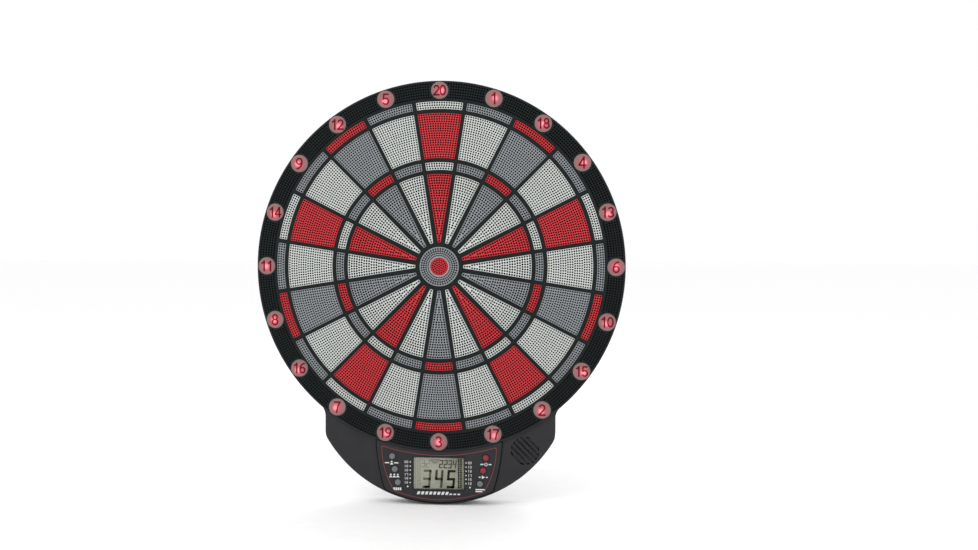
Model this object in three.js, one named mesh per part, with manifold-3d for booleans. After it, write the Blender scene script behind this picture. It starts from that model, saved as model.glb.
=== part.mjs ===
// Electronic dartboard for soft-tip darts: a round target above a housing with the electronics.
// Millimetres, +Z up, +X to the right, and the board faces -Y. The origin is on the wall plane
// behind the bull. A depth is a distance in front of that plane, so depth d lies at y = -d.
// An angle runs clockwise from straight up, as the numbers do.

import * as THREE from 'three';
import { mergeVertices } from 'three/addons/utils/BufferGeometryUtils.js';
import Module from 'manifold-3d';

const wasm = await Module();
wasm.setup();

// ---- driving dimensions ------------------------------------------------------------------

const NUMBERS = [20, 1, 18, 4, 13, 6, 10, 15, 2, 17, 3, 19, 7, 16, 8, 11, 14, 9, 12, 5];
const SECTORS = NUMBERS.length;
const SECTOR = (2 * Math.PI) / SECTORS;
const CLEAR = 0.4; // running gap round a scoring segment
const ROUND = 60; // facets of a large circle
const SMALL = 10; // facets of a number window

// Scoring areas: inner and outer radius, half gap to the sector line at each, facets of an arc.
const BULL_RADIUS = 9.9;
const OUTER_BULL = [10.5, 23.6];
const AREAS = [
  { inner: 28.6, outer: 111.3, gapInner: 2.5, gapOuter: 2.1, facets: 2 },
  { inner: 114.7, outer: 125.3, gapInner: 1.85, gapOuter: 1.85, facets: 2 },
  { inner: 128.7, outer: 184.1, gapInner: 1.5, gapOuter: 1.5, facets: 2 },
  { inner: 187.5, outer: 197, gapInner: 1.85, gapOuter: 1.85, facets: 2 },
];
const SEGMENT_DEPTH = [25.6, 36.6];
const WEB_DEPTH = [23.4, 26.4];

// Spider with the outer ring that carries the number windows.
const SPIDER_DEPTH = [26.8, 36.2];
const HUB_RING = 24; // inner radius, outside the outer bull
const SPIDER_WALL = 199.2;
const RING_RADIUS = 219.2;
const RING_PLATE_REAR = 33.2;

// Number windows.
const NUMBER_PITCH_RADIUS = 210;
const NUMBER_RADIUS = 10.3;
const NUMBER_HOLE = 10.6;
const LENS_BAND = [200.6, 216.2];
const LENS_DEPTH = [28.2, 30.6];
const NUMBER_FRONT = 35.6;
const LED_BAND = [201.4, 215.6];
const LED_DEPTH = [22.9, 24.5];
const LED_WIDTH = 3.6;

// Housing outline: round body with the electronics pod below it.
const BODY_RADIUS = 222;
const POD_HALF_WIDTH = 138.5;
const POD_RADIUS = 158;
const POD_CENTRE_Z = -128;
const POD_FILLET = 8;
const POD_CORNER = 8;
const WALL = 2.5;
const SEAM = 8; // depth where rear and front housing meet
const FRONT_FACE = 32.8;
const RIM_FRONT = 35.8;
const RIM = [219.7, 221];
const SHELF = { inner: 200, outer: 220, rear: 20, front: 22.5 };
const POSTS = 5; // posts of the spider that stand on the shelf
const POST_RADIUS = 2.4;

// Stack behind the segments.
const PAD_RADIUS = 197.5;
const BOARD_RADIUS = 198;
const CUSHION_DEPTH = [19.4, 22];
const FRONT_FILM = [18.4, 18.9];
const REAR_FILM = [17.5, 18];
const BACKING_DEPTH = [13.8, 17];

// Control panel, display and buttons, all centred on x = 0.
const PANEL_DEPTH = [33.1, 34.7];
const PANEL_TOP = { radius: 221.4, half: 77 };
const PANEL_BOTTOM = { radius: 156.2, half: 66 };
const PANEL_BULGE = [75.5, -240];
const DISPLAY_Z = -247.9;
const DISPLAY = [60, 37.6];
const WINDOW = [63, 40.6];
const BUTTON_RADIUS = 3.6;
const BUTTON_ROWS = [
  { name: 'top', x: 56.5, z: -228.4 },
  { name: 'middle', x: 53.3, z: -243.8 },
  { name: 'lower', x: 49.6, z: -259.7 },
];

// Loudspeaker and its slots.
const SPEAKER = [103.2, -219.5];
const GRILLE_RADIUS = 16.8;
const SLOT_WIDTH = 2.7;
const SLOT_PITCH = 5.4;
const SLOTS = 6;

// Battery bay for three AA cells lying across, and its door.
const CELL_RADIUS = 7.1;
const CELL_LENGTH = 49;
const CELL_PITCH = 15.3;
const CELL_DEPTH = 10.1;
const BAY = { halfX: 28.4, halfZ: 23.4, z: -248.5, front: 17.8, wall: 2 };
const DOOR_THICK = 2.2;
const DOOR_GAP = 0.4;

// Rear screws and wall hooks.
const SCREWS = 5;
const SCREW_RADIUS = 210.5;
const KEYHOLE = { x: 100, z: 140, radius: 4.6, slotHalf: 2.3, rise: 9 };

// ---- materials ---------------------------------------------------------------------------

const paint = (color, roughness = 0.55, metalness = 0) =>
  new THREE.MeshStandardMaterial({ color, roughness, metalness });

const charcoal = paint('#38393b');
const black = paint('#1d2021', 0.5);
const red = paint('#c22d33', 0.5);
const darkGrey = paint('#7b8285', 0.5);
const offWhite = paint('#ccd5d1', 0.5);
const buttonGrey = paint('#737a84', 0.5);
const lens = paint('#c98384', 0.3);
const circuit = paint('#1f5b37', 0.5);
const film = paint('#c9c4ae', 0.4);
const rubber = paint('#2b2c2e', 0.9);
const board = paint('#8a6a4a', 0.9);
const display = paint('#a5a596', 0.2);
const clear = paint('#d8dcda', 0.1);
const steel = paint('#b9bcc0', 0.3, 1);
const cell = paint('#b98a3c', 0.4, 0.3);
const copper = paint('#8c2f2a', 0.5);

// ---- shapes and solids -------------------------------------------------------------------

const polar = (radius, angle) => new THREE.Vector2(radius * Math.sin(angle), radius * Math.cos(angle));

function arc(radius, from, to, steps, centreX = 0, centreZ = 0) {
  const points = [];
  for (let i = 0; i <= steps; i++) {
    const point = polar(radius, from + ((to - from) * i) / steps);
    points.push(new THREE.Vector2(point.x + centreX, point.y + centreZ));
  }
  return points;
}

const circle = (radius, steps, x = 0, z = 0) => arc(radius, 0, 2 * Math.PI, steps, x, z).slice(0, -1);

// A hole's points run the other way round from its outline's.
function shape(outline, holes = []) {
  const result = new THREE.Shape(outline);
  for (const hole of holes) result.holes.push(new THREE.Path([...hole].reverse()));
  return result;
}

// A shape drawn in X and Z, as thick as the two depths say.
function slab(outline, rear, front, holes = []) {
  const settings = { depth: front - rear, bevelEnabled: false, steps: 1 };
  const geometry = new THREE.ExtrudeGeometry(shape(outline, holes), settings);
  geometry.translate(0, 0, rear);
  geometry.rotateX(Math.PI / 2);
  return geometry;
}

const ring = (inner, outer, rear, front, steps = ROUND) =>
  slab(circle(outer, steps), rear, front, [circle(inner, steps)]);

const disc = (radius, rear, front, steps, x = 0, z = 0) => slab(circle(radius, steps, x, z), rear, front);

function block(x0, x1, z0, z1, rear, front) {
  const geometry = new THREE.BoxGeometry(x1 - x0, front - rear, z1 - z0);
  geometry.translate((x0 + x1) / 2, -(rear + front) / 2, (z0 + z1) / 2);
  return geometry;
}

// A turned piece about a line along Y: radius and depth pairs, from the front to the rear.
function turned(profile, steps, x, z) {
  const geometry = new THREE.LatheGeometry(profile.map(([r, depth]) => new THREE.Vector2(r, -depth)), steps);
  geometry.translate(x, 0, z);
  return geometry;
}

function merged(geometry) {
  const bare = new THREE.BufferGeometry();
  bare.setAttribute('position', geometry.attributes.position);
  if (geometry.index) bare.setIndex(geometry.index);
  return mergeVertices(bare, 1e-4);
}

function solid(geometry) {
  const mesh = merged(geometry);
  const vertProperties = new Float32Array(mesh.attributes.position.array);
  const triVerts = new Uint32Array(mesh.index.array);
  return new wasm.Manifold(new wasm.Mesh({ numProp: 3, vertProperties, triVerts }));
}

function geometryOf(manifold) {
  const mesh = manifold.getMesh();
  const geometry = new THREE.BufferGeometry();
  geometry.setAttribute('position', new THREE.BufferAttribute(new Float32Array(mesh.vertProperties), 3));
  geometry.setIndex(new THREE.BufferAttribute(new Uint32Array(mesh.triVerts), 1));
  return geometry;
}

const join = (...geometries) => geometries.map(solid).reduce((sum, next) => sum.add(next));
const cut = (body, ...geometries) => geometries.map(solid).reduce((rest, next) => rest.subtract(next), body);

const dartboard = new THREE.Group();
dartboard.name = 'electronic_dartboard';

function addPart(name, geometry, material, angle = 0) {
  const closed = geometry instanceof THREE.BufferGeometry ? geometry : geometryOf(geometry);
  const mesh = new THREE.Mesh(closed, material);
  mesh.name = name;
  mesh.rotation.y = angle;
  dartboard.add(mesh);
}

function perNumber(make) {
  return Array.from({ length: SECTORS }, (_, k) => make(k * SECTOR, k));
}

// ---- target ------------------------------------------------------------------------------

// Outline of one scoring area, or of the spider's opening round it when grown by the clearance.
function areaOutline(area, middle, grow = 0) {
  const inner = area.inner - grow;
  const outer = area.outer + grow;
  const innerHalf = SECTOR / 2 - Math.asin((area.gapInner - grow) / inner);
  const outerHalf = SECTOR / 2 - Math.asin((area.gapOuter - grow) / outer);
  return [
    ...arc(outer, middle - outerHalf, middle + outerHalf, area.facets),
    ...arc(inner, middle + innerHalf, middle - innerHalf, area.facets),
  ];
}

// The number's four scoring areas on the web that joins them behind the spider.
function numberWedge() {
  const webInner = 29.6;
  const webOuter = 195;
  const web = [
    new THREE.Vector2(-1.5, webInner),
    new THREE.Vector2(-6, webOuter),
    new THREE.Vector2(6, webOuter),
    new THREE.Vector2(1.5, webInner),
  ];
  const areas = AREAS.map((area) => slab(areaOutline(area, 0), ...SEGMENT_DEPTH));
  return geometryOf(join(slab(web, ...WEB_DEPTH), ...areas));
}

// The posts stand midway between two numbers, and pass through the lens ring and its LED board.
const postPlaces = Array.from({ length: POSTS }, (_, i) =>
  polar(NUMBER_PITCH_RADIUS, SECTOR / 2 + (i * 2 * Math.PI) / POSTS));
const postHoles = (rear, front) =>
  postPlaces.map((at) => disc(POST_RADIUS + 0.5, rear, front, 6, at.x, at.y));

function spiderRing() {
  const openings = perNumber((middle) => AREAS.map((area) => areaOutline(area, middle, CLEAR))).flat();
  const lattice = ring(HUB_RING, SPIDER_WALL, ...SPIDER_DEPTH);
  const plate = ring(SPIDER_WALL - 1, RING_RADIUS, RING_PLATE_REAR, SPIDER_DEPTH[1]);
  const posts = postPlaces.map((at) =>
    disc(POST_RADIUS, SHELF.front + CLEAR, RING_PLATE_REAR + 1, 6, at.x, at.y));
  const cells = openings.map((outline) => slab(outline, SPIDER_DEPTH[0] - 1, SPIDER_DEPTH[1] + 1));
  const windows = numberHoles(RING_PLATE_REAR - 1, SPIDER_DEPTH[1] + 1);
  return cut(join(lattice, plate, ...posts), ...cells, ...windows);
}

function numberHoles(rear, front) {
  return perNumber((angle) => {
    const centre = polar(NUMBER_PITCH_RADIUS, angle);
    return disc(NUMBER_HOLE, rear, front, SMALL, centre.x, centre.y);
  });
}

function numberLensRing() {
  const windows = perNumber((angle) => {
    const centre = polar(NUMBER_PITCH_RADIUS, angle);
    return disc(NUMBER_RADIUS, LENS_DEPTH[1] - 0.3, NUMBER_FRONT, SMALL, centre.x, centre.y);
  });
  const lenses = join(ring(...LENS_BAND, ...LENS_DEPTH), ...windows);
  return cut(lenses, ...postHoles(LENS_DEPTH[0] - 1, LENS_DEPTH[1] + 1));
}

function ledRingBoard() {
  const leds = perNumber((angle) => {
    const centre = polar(NUMBER_PITCH_RADIUS, angle);
    const half = LED_WIDTH / 2;
    return block(centre.x - half, centre.x + half, centre.y - half, centre.y + half, 24, 26.6);
  });
  const board = join(ring(...LED_BAND, ...LED_DEPTH, 40), ...leds);
  return cut(board, ...postHoles(LED_DEPTH[0] - 1, LED_DEPTH[1] + 1));
}

const wedge = numberWedge();
NUMBERS.forEach((number, k) => {
  const even = k % 4 === 0 ? red : darkGrey;
  addPart(`segments_${String(number).padStart(2, '0')}`, wedge, k % 2 ? offWhite : even, k * SECTOR);
});

addPart('bull_outer', ring(...OUTER_BULL, WEB_DEPTH[0], SEGMENT_DEPTH[1], 40), darkGrey);
addPart('bull_inner', disc(BULL_RADIUS, WEB_DEPTH[0], SEGMENT_DEPTH[1], 24), red);
addPart('spider_ring', spiderRing(), black);
addPart('number_lens_ring', numberLensRing(), lens);
addPart('led_ring_board', ledRingBoard(), circuit);

// ---- housing -----------------------------------------------------------------------------

// Housing outline, moved inwards by inset: round body, concave fillet, straight pod side,
// rounded corner and the pod's bottom arc, then the same mirrored.
function housingOutline(inset = 0) {
  const body = BODY_RADIUS - inset;
  const fillet = POD_FILLET + inset;
  const side = POD_HALF_WIDTH - inset;
  const corner = POD_CORNER - inset;
  const pod = POD_RADIUS - inset;
  const filletX = side + fillet;
  const bodyAngle = Math.PI - Math.asin(filletX / (body + fillet));
  const filletZ = (body + fillet) * Math.cos(bodyAngle);
  const cornerX = side - corner;
  const podAngle = Math.PI - Math.asin(cornerX / (pod - corner));
  const cornerZ = POD_CENTRE_Z + (pod - corner) * Math.cos(podAngle);
  const facet = (2 * Math.PI) / ROUND;
  const facets = Math.floor(bodyAngle / facet);
  const half = [
    ...arc(body, 0, facets * facet, facets),
    polar(body, bodyAngle),
    ...arc(fillet, bodyAngle - Math.PI, -Math.PI / 2, 3, filletX, filletZ).slice(1),
    ...arc(corner, Math.PI / 2, podAngle, 4, cornerX, cornerZ),
    ...arc(pod, podAngle, Math.PI, 14, 0, POD_CENTRE_Z).slice(1),
  ];
  const mirrored = half.slice(1, -1).map((point) => new THREE.Vector2(-point.x, point.y));
  return [...half, ...mirrored.reverse()];
}

const screwPlaces = Array.from({ length: SCREWS }, (_, i) =>
  polar(SCREW_RADIUS, (i * 2 * Math.PI) / SCREWS));
const mirroredButtons = BUTTON_ROWS.flatMap((row) => [
  { ...row, side: 'left', x: -row.x },
  { ...row, side: 'right' },
]);

// A rectangle centred on x = 0 at the display's height.
const displayBlock = ([width, height], rear, front) =>
  block(-width / 2, width / 2, DISPLAY_Z - height / 2, DISPLAY_Z + height / 2, rear, front);

function speakerSlots() {
  return Array.from({ length: SLOTS }, (_, i) => {
    const offset = (i - (SLOTS - 1) / 2) * SLOT_PITCH;
    const half = Math.sqrt(GRILLE_RADIUS ** 2 - (Math.abs(offset) + SLOT_WIDTH / 2) ** 2);
    const slot = block(-half, half, offset - SLOT_WIDTH / 2, offset + SLOT_WIDTH / 2, 29, 34);
    slot.rotateY(Math.PI / 4);
    slot.translate(SPEAKER[0], 0, SPEAKER[1]);
    return slot;
  });
}

// The power inlet in the pod's right side wall, pointing along +X.
const INLET = { z: -188, depth: 17.5, bore: 2.8, nose: 4, hole: 4.4 };

function alongX(radius, x0, x1, steps = 16) {
  const geometry = new THREE.CylinderGeometry(radius, radius, x1 - x0, steps);
  geometry.rotateZ(Math.PI / 2);
  geometry.translate((x0 + x1) / 2, -INLET.depth, INLET.z);
  return geometry;
}

function frontHousing() {
  const outer = slab(housingOutline(), SEAM, FRONT_FACE);
  const cavity = slab(housingOutline(WALL), SEAM - 1, FRONT_FACE - 2.8);
  const opening = disc(RIM[0], FRONT_FACE - 2.8, FRONT_FACE + 1, ROUND);
  const rim = ring(...RIM, FRONT_FACE - 2.8, RIM_FRONT);
  const shelf = ring(SHELF.inner, SHELF.outer, SHELF.rear, SHELF.front);
  const bosses = screwPlaces.map((place) => disc(4.5, SEAM + 0.3, SHELF.rear + 1, 10, place.x, place.y));
  const pilots = screwPlaces.map((place) => disc(1.9, SEAM - 1, 17, 8, place.x, place.y));
  const buttonHoles = mirroredButtons.map((b) => disc(BUTTON_RADIUS + 0.4, 29, 34, 12, b.x, b.z));
  const walls = cut(solid(outer), cavity, opening);
  return cut(
    walls.add(join(rim, shelf, ...bosses)),
    ...pilots,
    ...numberHoles(FRONT_FACE - 3, RIM_FRONT + 1),
    ...buttonHoles,
    displayBlock(DISPLAY, 29, 34),
    ...speakerSlots(),
    alongX(INLET.hole, POD_HALF_WIDTH - WALL - 1, POD_HALF_WIDTH + 1),
  );
}

function rearHousing() {
  const tray = slab(housingOutline(), 0, SEAM - 0.3);
  const hollow = slab(housingOutline(WALL), WALL, SEAM);
  const ribs = [-70, 70].flatMap((at) => [
    block(at - 1, at + 1, -160, 160, WALL - 1, BACKING_DEPTH[0] - 0.4),
    block(-160, 160, at - 1, at + 1, WALL - 1, BACKING_DEPTH[0] - 0.4),
  ]);
  const { halfX, halfZ, z, front, wall } = BAY;
  const x = halfX + wall;
  const tub = block(-x, x, z - halfZ - wall, z + halfZ + wall, WALL - 1, front + 1.5);
  const bosses = screwPlaces.map((place) => disc(6, WALL - 1, 5.5, 10, place.x, place.y));
  const body = cut(solid(tray), hollow).add(join(...ribs, tub, ...bosses));
  const screwHoles = screwPlaces.flatMap((place) => [
    disc(3.9, -1, 3.3, 12, place.x, place.y),
    disc(1.9, -1, 6, 8, place.x, place.y),
  ]);
  const keyholes = [-KEYHOLE.x, KEYHOLE.x].flatMap((at) => [
    disc(KEYHOLE.radius, -1, WALL + 1, 14, at, KEYHOLE.z),
    block(at - KEYHOLE.slotHalf, at + KEYHOLE.slotHalf, KEYHOLE.z, KEYHOLE.z + KEYHOLE.rise, -1, WALL + 1),
    disc(KEYHOLE.slotHalf, -1, WALL + 1, 12, at, KEYHOLE.z + KEYHOLE.rise),
  ]);
  const bay = block(-halfX, halfX, z - halfZ, z + halfZ, -1, front);
  return cut(body, bay, ...screwHoles, ...keyholes);
}

addPart('front_housing', frontHousing(), charcoal);
addPart('rear_housing', rearHousing(), charcoal);

function rearScrew(place) {
  const profile = [
    [0, 16.5],
    [1.5, 15.5],
    [1.5, 3],
    [3.3, 3],
    [3.3, 0.8],
    [0, 0.8],
  ];
  return turned(profile, 10, place.x, place.y);
}

screwPlaces.forEach((place, i) => addPart(`rear_screw_${i + 1}`, rearScrew(place), steel));

// ---- switch stack behind the segments ----------------------------------------------------

const pad = ([rear, front], radius = PAD_RADIUS) => disc(radius, rear, front, 40);

// A printed film with its tail down to the main board's connector.
function matrixFilm(depths, tailX) {
  const tail = block(tailX - 12, tailX + 12, -225.6, -185, ...depths);
  return join(pad(depths), tail);
}

addPart('cushion_sheet', pad(CUSHION_DEPTH), rubber);
addPart('matrix_film_front', matrixFilm(FRONT_FILM, -51), film);
addPart('matrix_film_rear', matrixFilm(REAR_FILM, 51), film);
addPart('backing_board', pad(BACKING_DEPTH, BOARD_RADIUS), board);

// ---- control panel -----------------------------------------------------------------------

function panelOutline() {
  const topAngle = Math.asin(PANEL_TOP.half / PANEL_TOP.radius);
  const bottomAngle = Math.asin(PANEL_BOTTOM.half / PANEL_BOTTOM.radius);
  const top = arc(PANEL_TOP.radius, Math.PI + topAngle, Math.PI - topAngle, 12);
  const bottom = arc(PANEL_BOTTOM.radius, Math.PI - bottomAngle, Math.PI + bottomAngle, 10, 0, POD_CENTRE_Z);
  const side = (from, to, sign) =>
    new THREE.QuadraticBezierCurve(from, new THREE.Vector2(sign * PANEL_BULGE[0], PANEL_BULGE[1]), to)
      .getPoints(4)
      .slice(1, -1);
  return [
    ...top,
    ...side(top.at(-1), bottom[0], 1),
    ...bottom,
    ...side(bottom.at(-1), top[0], -1),
  ];
}

function controlPanel() {
  const holes = mirroredButtons.map((b) => disc(BUTTON_RADIUS + 0.4, 32, 36, 12, b.x, b.z));
  const opening = displayBlock([WINDOW[0] + 0.8, WINDOW[1] + 0.8], 32, 36);
  return cut(solid(slab(panelOutline(), ...PANEL_DEPTH)), ...holes, opening);
}

// The cap is what a finger presses, and the flange keeps it behind the housing.
function button(x, z) {
  const profile = [
    [0, 36.1],
    [BUTTON_RADIUS - 0.5, 36.1],
    [BUTTON_RADIUS, 35.6],
    [BUTTON_RADIUS, 29.4],
    [4.7, 29.4],
    [4.7, 27],
    [0, 27],
  ];
  return turned(profile, 12, x, z);
}

function keypadMat(sign) {
  const domes = BUTTON_ROWS.map((row) => disc(2.6, 23, 25.6, 10, sign * row.x, row.z));
  const edges = [sign * 42, sign * 63].sort((a, b) => a - b);
  return join(block(...edges, -266, -222, 22.6, 23.8), ...domes);
}

function mainBoard() {
  const connectors = [-1, 1].map((sign) => {
    const edges = [sign * 38, sign * 64].sort((a, b) => a - b);
    return block(...edges, -232, -226, 16.4, 20.6);
  });
  const chips = [block(-16, -4, -246, -234, 21.6, 23.2), block(38.5, 41, -262, -240, 18, 20.6)];
  return join(block(-66, 66, -262, -226, 20.4, 22), ...connectors, ...chips);
}

addPart('control_panel', controlPanel(), charcoal);
addPart('display_window', displayBlock(WINDOW, PANEL_DEPTH[0], PANEL_DEPTH[1] - 0.4), clear);
addPart(
  'display_module',
  join(displayBlock([70, 48], 24, 29.6), displayBlock([DISPLAY[0] - 0.8, DISPLAY[1] - 0.8], 29, 32.2)),
  display,
);
for (const b of mirroredButtons) {
  const isRed = b.side === 'right' && b.name !== 'lower';
  addPart(`button_${b.side}_${b.name}`, button(b.x, b.z), isRed ? red : buttonGrey);
}
addPart('keypad_mat_left', keypadMat(-1), rubber);
addPart('keypad_mat_right', keypadMat(1), rubber);
addPart('main_board', mainBoard(), circuit);

// ---- loudspeaker and power ---------------------------------------------------------------

function loudspeaker() {
  const profile = [
    [0, 25.5],
    [5, 24],
    [14, 29.4],
    [16, 29.4],
    [16, 24],
    [14.5, 24],
    [9, 14.5],
    [9, 8],
    [0, 8],
  ];
  return turned(profile, 16, ...SPEAKER);
}

function powerInlet() {
  const x0 = POD_HALF_WIDTH - WALL - 11;
  const x1 = POD_HALF_WIDTH - WALL - 0.4;
  const tip = POD_HALF_WIDTH - 0.3;
  const body = block(x0, x1, INLET.z - 4.5, INLET.z + 4.5, INLET.depth - 5.5, INLET.depth + 5.5);
  const socket = cut(join(body, alongX(INLET.nose, x1 - 1, tip)), alongX(INLET.bore, x0 + 2, tip + 1));
  return socket.add(solid(alongX(1, x0 + 1, tip - 0.8, 8)));
}

// An AA cell lying along X with its button end towards the given side.
function batteryCell(sign, z) {
  const half = CELL_LENGTH / 2;
  const profile = [
    [0, -half],
    [CELL_RADIUS - 0.6, -half],
    [CELL_RADIUS, -half + 0.6],
    [CELL_RADIUS, half - 1.2],
    [2.7, half - 1.2],
    [2.7, half],
    [0, half],
  ];
  const geometry = new THREE.LatheGeometry(profile.map(([r, y]) => new THREE.Vector2(r, y)), 12);
  geometry.rotateZ(-sign * Math.PI / 2);
  geometry.translate(0, -CELL_DEPTH, z);
  return geometry;
}

// A sheet contact against one end wall of the bay, with a spring or a button for each cell it serves.
function contact(sign, cells) {
  const half = 6.4;
  const plateX = sign * (BAY.halfX - 0.3);
  const zs = cells.map((c) => c.z);
  const bottom = Math.min(...zs) - half;
  const top = Math.max(...zs) + half;
  const edges = [plateX, plateX - sign * 0.5].sort((a, b) => a - b);
  const plate = block(...edges, bottom, top, CELL_DEPTH - half, CELL_DEPTH + half);
  const bumps = cells.map(({ z, spring }) => {
    const tip = sign * (CELL_LENGTH / 2 + 0.3);
    const length = Math.abs(plateX - tip) - 0.1;
    const geometry = new THREE.CylinderGeometry(spring ? 3.4 : 2, spring ? 4.6 : 2.4, length, 10);
    geometry.rotateZ(sign * Math.PI / 2);
    geometry.translate((plateX + tip) / 2 - sign * 0.05, -CELL_DEPTH, z);
    return geometry;
  });
  return join(plate, ...bumps);
}

function batteryDoor() {
  const radius = DOOR_THICK / 2;
  const halfX = BAY.halfX - DOOR_GAP;
  const top = BAY.z + BAY.halfZ - DOOR_GAP - radius;
  const bottom = BAY.z - BAY.halfZ + DOOR_GAP;
  const section = new THREE.Shape([
    new THREE.Vector2(0, bottom),
    new THREE.Vector2(DOOR_THICK, bottom),
    ...arc(radius, Math.PI / 2, -Math.PI / 2, 6, radius, top),
  ]);
  const geometry = new THREE.ExtrudeGeometry(section, { depth: 2 * halfX, bevelEnabled: false, steps: 1 });
  geometry.applyMatrix4(new THREE.Matrix4().set(0, 0, 1, -halfX, -1, 0, 0, 0, 0, 1, 0, 0, 0, 0, 0, 1));
  return flipped(geometry);
}

// Mirrored geometry has its triangles turned the right way round again.
function flipped(geometry) {
  const result = merged(geometry);
  const index = result.index.array;
  for (let i = 0; i < index.length; i += 3) [index[i], index[i + 1]] = [index[i + 1], index[i]];
  return result;
}

function lead(points, radius = 0.9) {
  const path = new THREE.CatmullRomCurve3(points.map(([x, d, z]) => new THREE.Vector3(x, -d, z)));
  const section = new THREE.Shape(circle(radius, 6));
  return new THREE.ExtrudeGeometry(section, { steps: 8, extrudePath: path, bevelEnabled: false });
}

const cells = [
  { z: BAY.z + CELL_PITCH, sign: 1 },
  { z: BAY.z, sign: -1 },
  { z: BAY.z - CELL_PITCH, sign: 1 },
];

addPart('loudspeaker', loudspeaker(), black);
addPart('power_inlet', powerInlet(), black);
addPart('battery_door', batteryDoor(), charcoal);
cells.forEach(({ z, sign }, i) => addPart(`battery_cell_${i + 1}`, batteryCell(sign, z), cell));
addPart('battery_contact_negative', contact(-1, [{ z: cells[0].z, spring: true }]), steel);
addPart(
  'battery_bridge_right',
  contact(1, [
    { z: cells[0].z, spring: false },
    { z: cells[1].z, spring: true },
  ]),
  steel,
);
addPart(
  'battery_bridge_left',
  contact(-1, [
    { z: cells[1].z, spring: false },
    { z: cells[2].z, spring: true },
  ]),
  steel,
);
addPart('battery_contact_positive', contact(1, [{ z: cells[2].z, spring: false }]), steel);

// Each lead runs from its part to the rear of the main board: x, depth and z along the way.
const speakerRoute = [
  [92, 10.5, -221],
  [84, 10, -226],
  [72, 12, -236],
  [60, 16, -240],
  [57, 19.6, -241],
];
const batteryRoute = [
  [31.3, 10, -262],
  [36, 9.5, -260],
  [46, 11, -256],
  [52, 15, -253],
  [53, 19.6, -252],
];
addPart('speaker_lead', lead(speakerRoute), copper);
addPart('battery_lead', lead(batteryRoute), copper);

export default dartboard;
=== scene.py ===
"""An electronic dartboard for soft-tip darts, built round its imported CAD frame.

Lengths are in millimetres until a mesh is made. A depth is a distance in front of the wall plane, so
depth d lies at y = -d. An angle runs clockwise from straight up, as the numbers on the board do.
Outlines are lists of (x, z) points that run anticlockwise as seen from the front.
"""

import math
import random

import bpy
from mathutils import Matrix, Vector, geometry


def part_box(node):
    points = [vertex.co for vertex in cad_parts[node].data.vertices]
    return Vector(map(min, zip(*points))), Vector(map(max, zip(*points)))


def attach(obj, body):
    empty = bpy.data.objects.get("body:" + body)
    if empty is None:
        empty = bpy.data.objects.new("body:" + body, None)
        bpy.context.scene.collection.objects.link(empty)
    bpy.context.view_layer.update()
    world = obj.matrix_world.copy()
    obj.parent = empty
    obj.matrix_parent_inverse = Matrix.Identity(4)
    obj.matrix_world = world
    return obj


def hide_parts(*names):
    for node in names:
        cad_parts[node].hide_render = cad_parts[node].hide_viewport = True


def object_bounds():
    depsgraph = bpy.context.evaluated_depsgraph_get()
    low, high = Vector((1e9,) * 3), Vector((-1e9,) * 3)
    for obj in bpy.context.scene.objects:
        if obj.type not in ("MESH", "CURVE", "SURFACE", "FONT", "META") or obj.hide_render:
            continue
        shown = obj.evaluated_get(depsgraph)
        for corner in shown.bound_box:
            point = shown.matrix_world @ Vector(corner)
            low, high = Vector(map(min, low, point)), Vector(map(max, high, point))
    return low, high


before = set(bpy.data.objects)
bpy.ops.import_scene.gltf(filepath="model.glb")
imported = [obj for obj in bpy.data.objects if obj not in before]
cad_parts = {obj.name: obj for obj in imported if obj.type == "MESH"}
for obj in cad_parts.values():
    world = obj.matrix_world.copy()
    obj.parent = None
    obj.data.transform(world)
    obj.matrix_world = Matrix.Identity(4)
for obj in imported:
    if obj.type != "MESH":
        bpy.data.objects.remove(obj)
cad_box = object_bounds()

MM = 0.001
NUMBERS = [20, 1, 18, 4, 13, 6, 10, 15, 2, 17, 3, 19, 7, 16, 8, 11, 14, 9, 12, 5]
SECTOR = 2 * math.pi / len(NUMBERS)
HOUSING = "housing"


def depth_of(node, side):
    """The depth of a CAD node's rear (side 1) or front (side 0)."""
    return -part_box(node)[side].y / MM


# Scoring areas: inner and outer radius, and half the gap to the next number at each of the two.
AREAS = {
    "single_inner": (28.9, 110.4, 2.8, 2.4),
    "triple": (115.4, 124.4, 2.5, 2.5),
    "single_outer": (129.4, 182.9, 2.25, 2.25),
    "double": (187.8, 196.7, 2.55, 2.55),
}
# Rows of holes in each area, and the holes' radius.
HOLES = {
    "single_inner": (27, 1.2), "triple": (3, 1.17), "single_outer": (19, 1.08), "double": (3, 1.12),
}
# Colours that come round with every fourth number.
SINGLE_COLOURS = ["red", "light", "grey", "light"]
RING_COLOURS = ["light", "grey", "red", "grey"]
AREA_CLEARANCE = 0.4
AREA_CORNER = 0.6
SEGMENT_FRONT = depth_of("bull_inner", 0)
SEGMENT_REAR = depth_of("bull_inner", 1)
AREA_REAR = SEGMENT_FRONT - 11
WEB = [(-5.5, 194.0), (-1.4, 30.2), (1.4, 30.2), (5.5, 194.0)]

# The two bulls, with the radius of each row of holes.
BULL_RADIUS = 9.9
BULL_ROWS = [(2.75, 6), (5.3, 12), (7.85, 18)]
BULL_HOLE = 1.05
OUTER_BULL = (10.5, 23.6)
OUTER_BULL_FRONT = SEGMENT_FRONT - 0.3
OUTER_BULL_ROWS = [13.3, 15.9, 18.5, 21.1]
OUTER_BULL_SPOKES = 44
OUTER_BULL_HOLE = 1.15

# Blind holes that catch the darts.
HOLE_PITCH = 2.87
HOLE_LIP = 0.12
HOLE_DEPTH = 4.2
HOLE_SIDES = 8
HOLE_TAPER = 0.9
HOLE_MARGIN = 0.52

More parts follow.
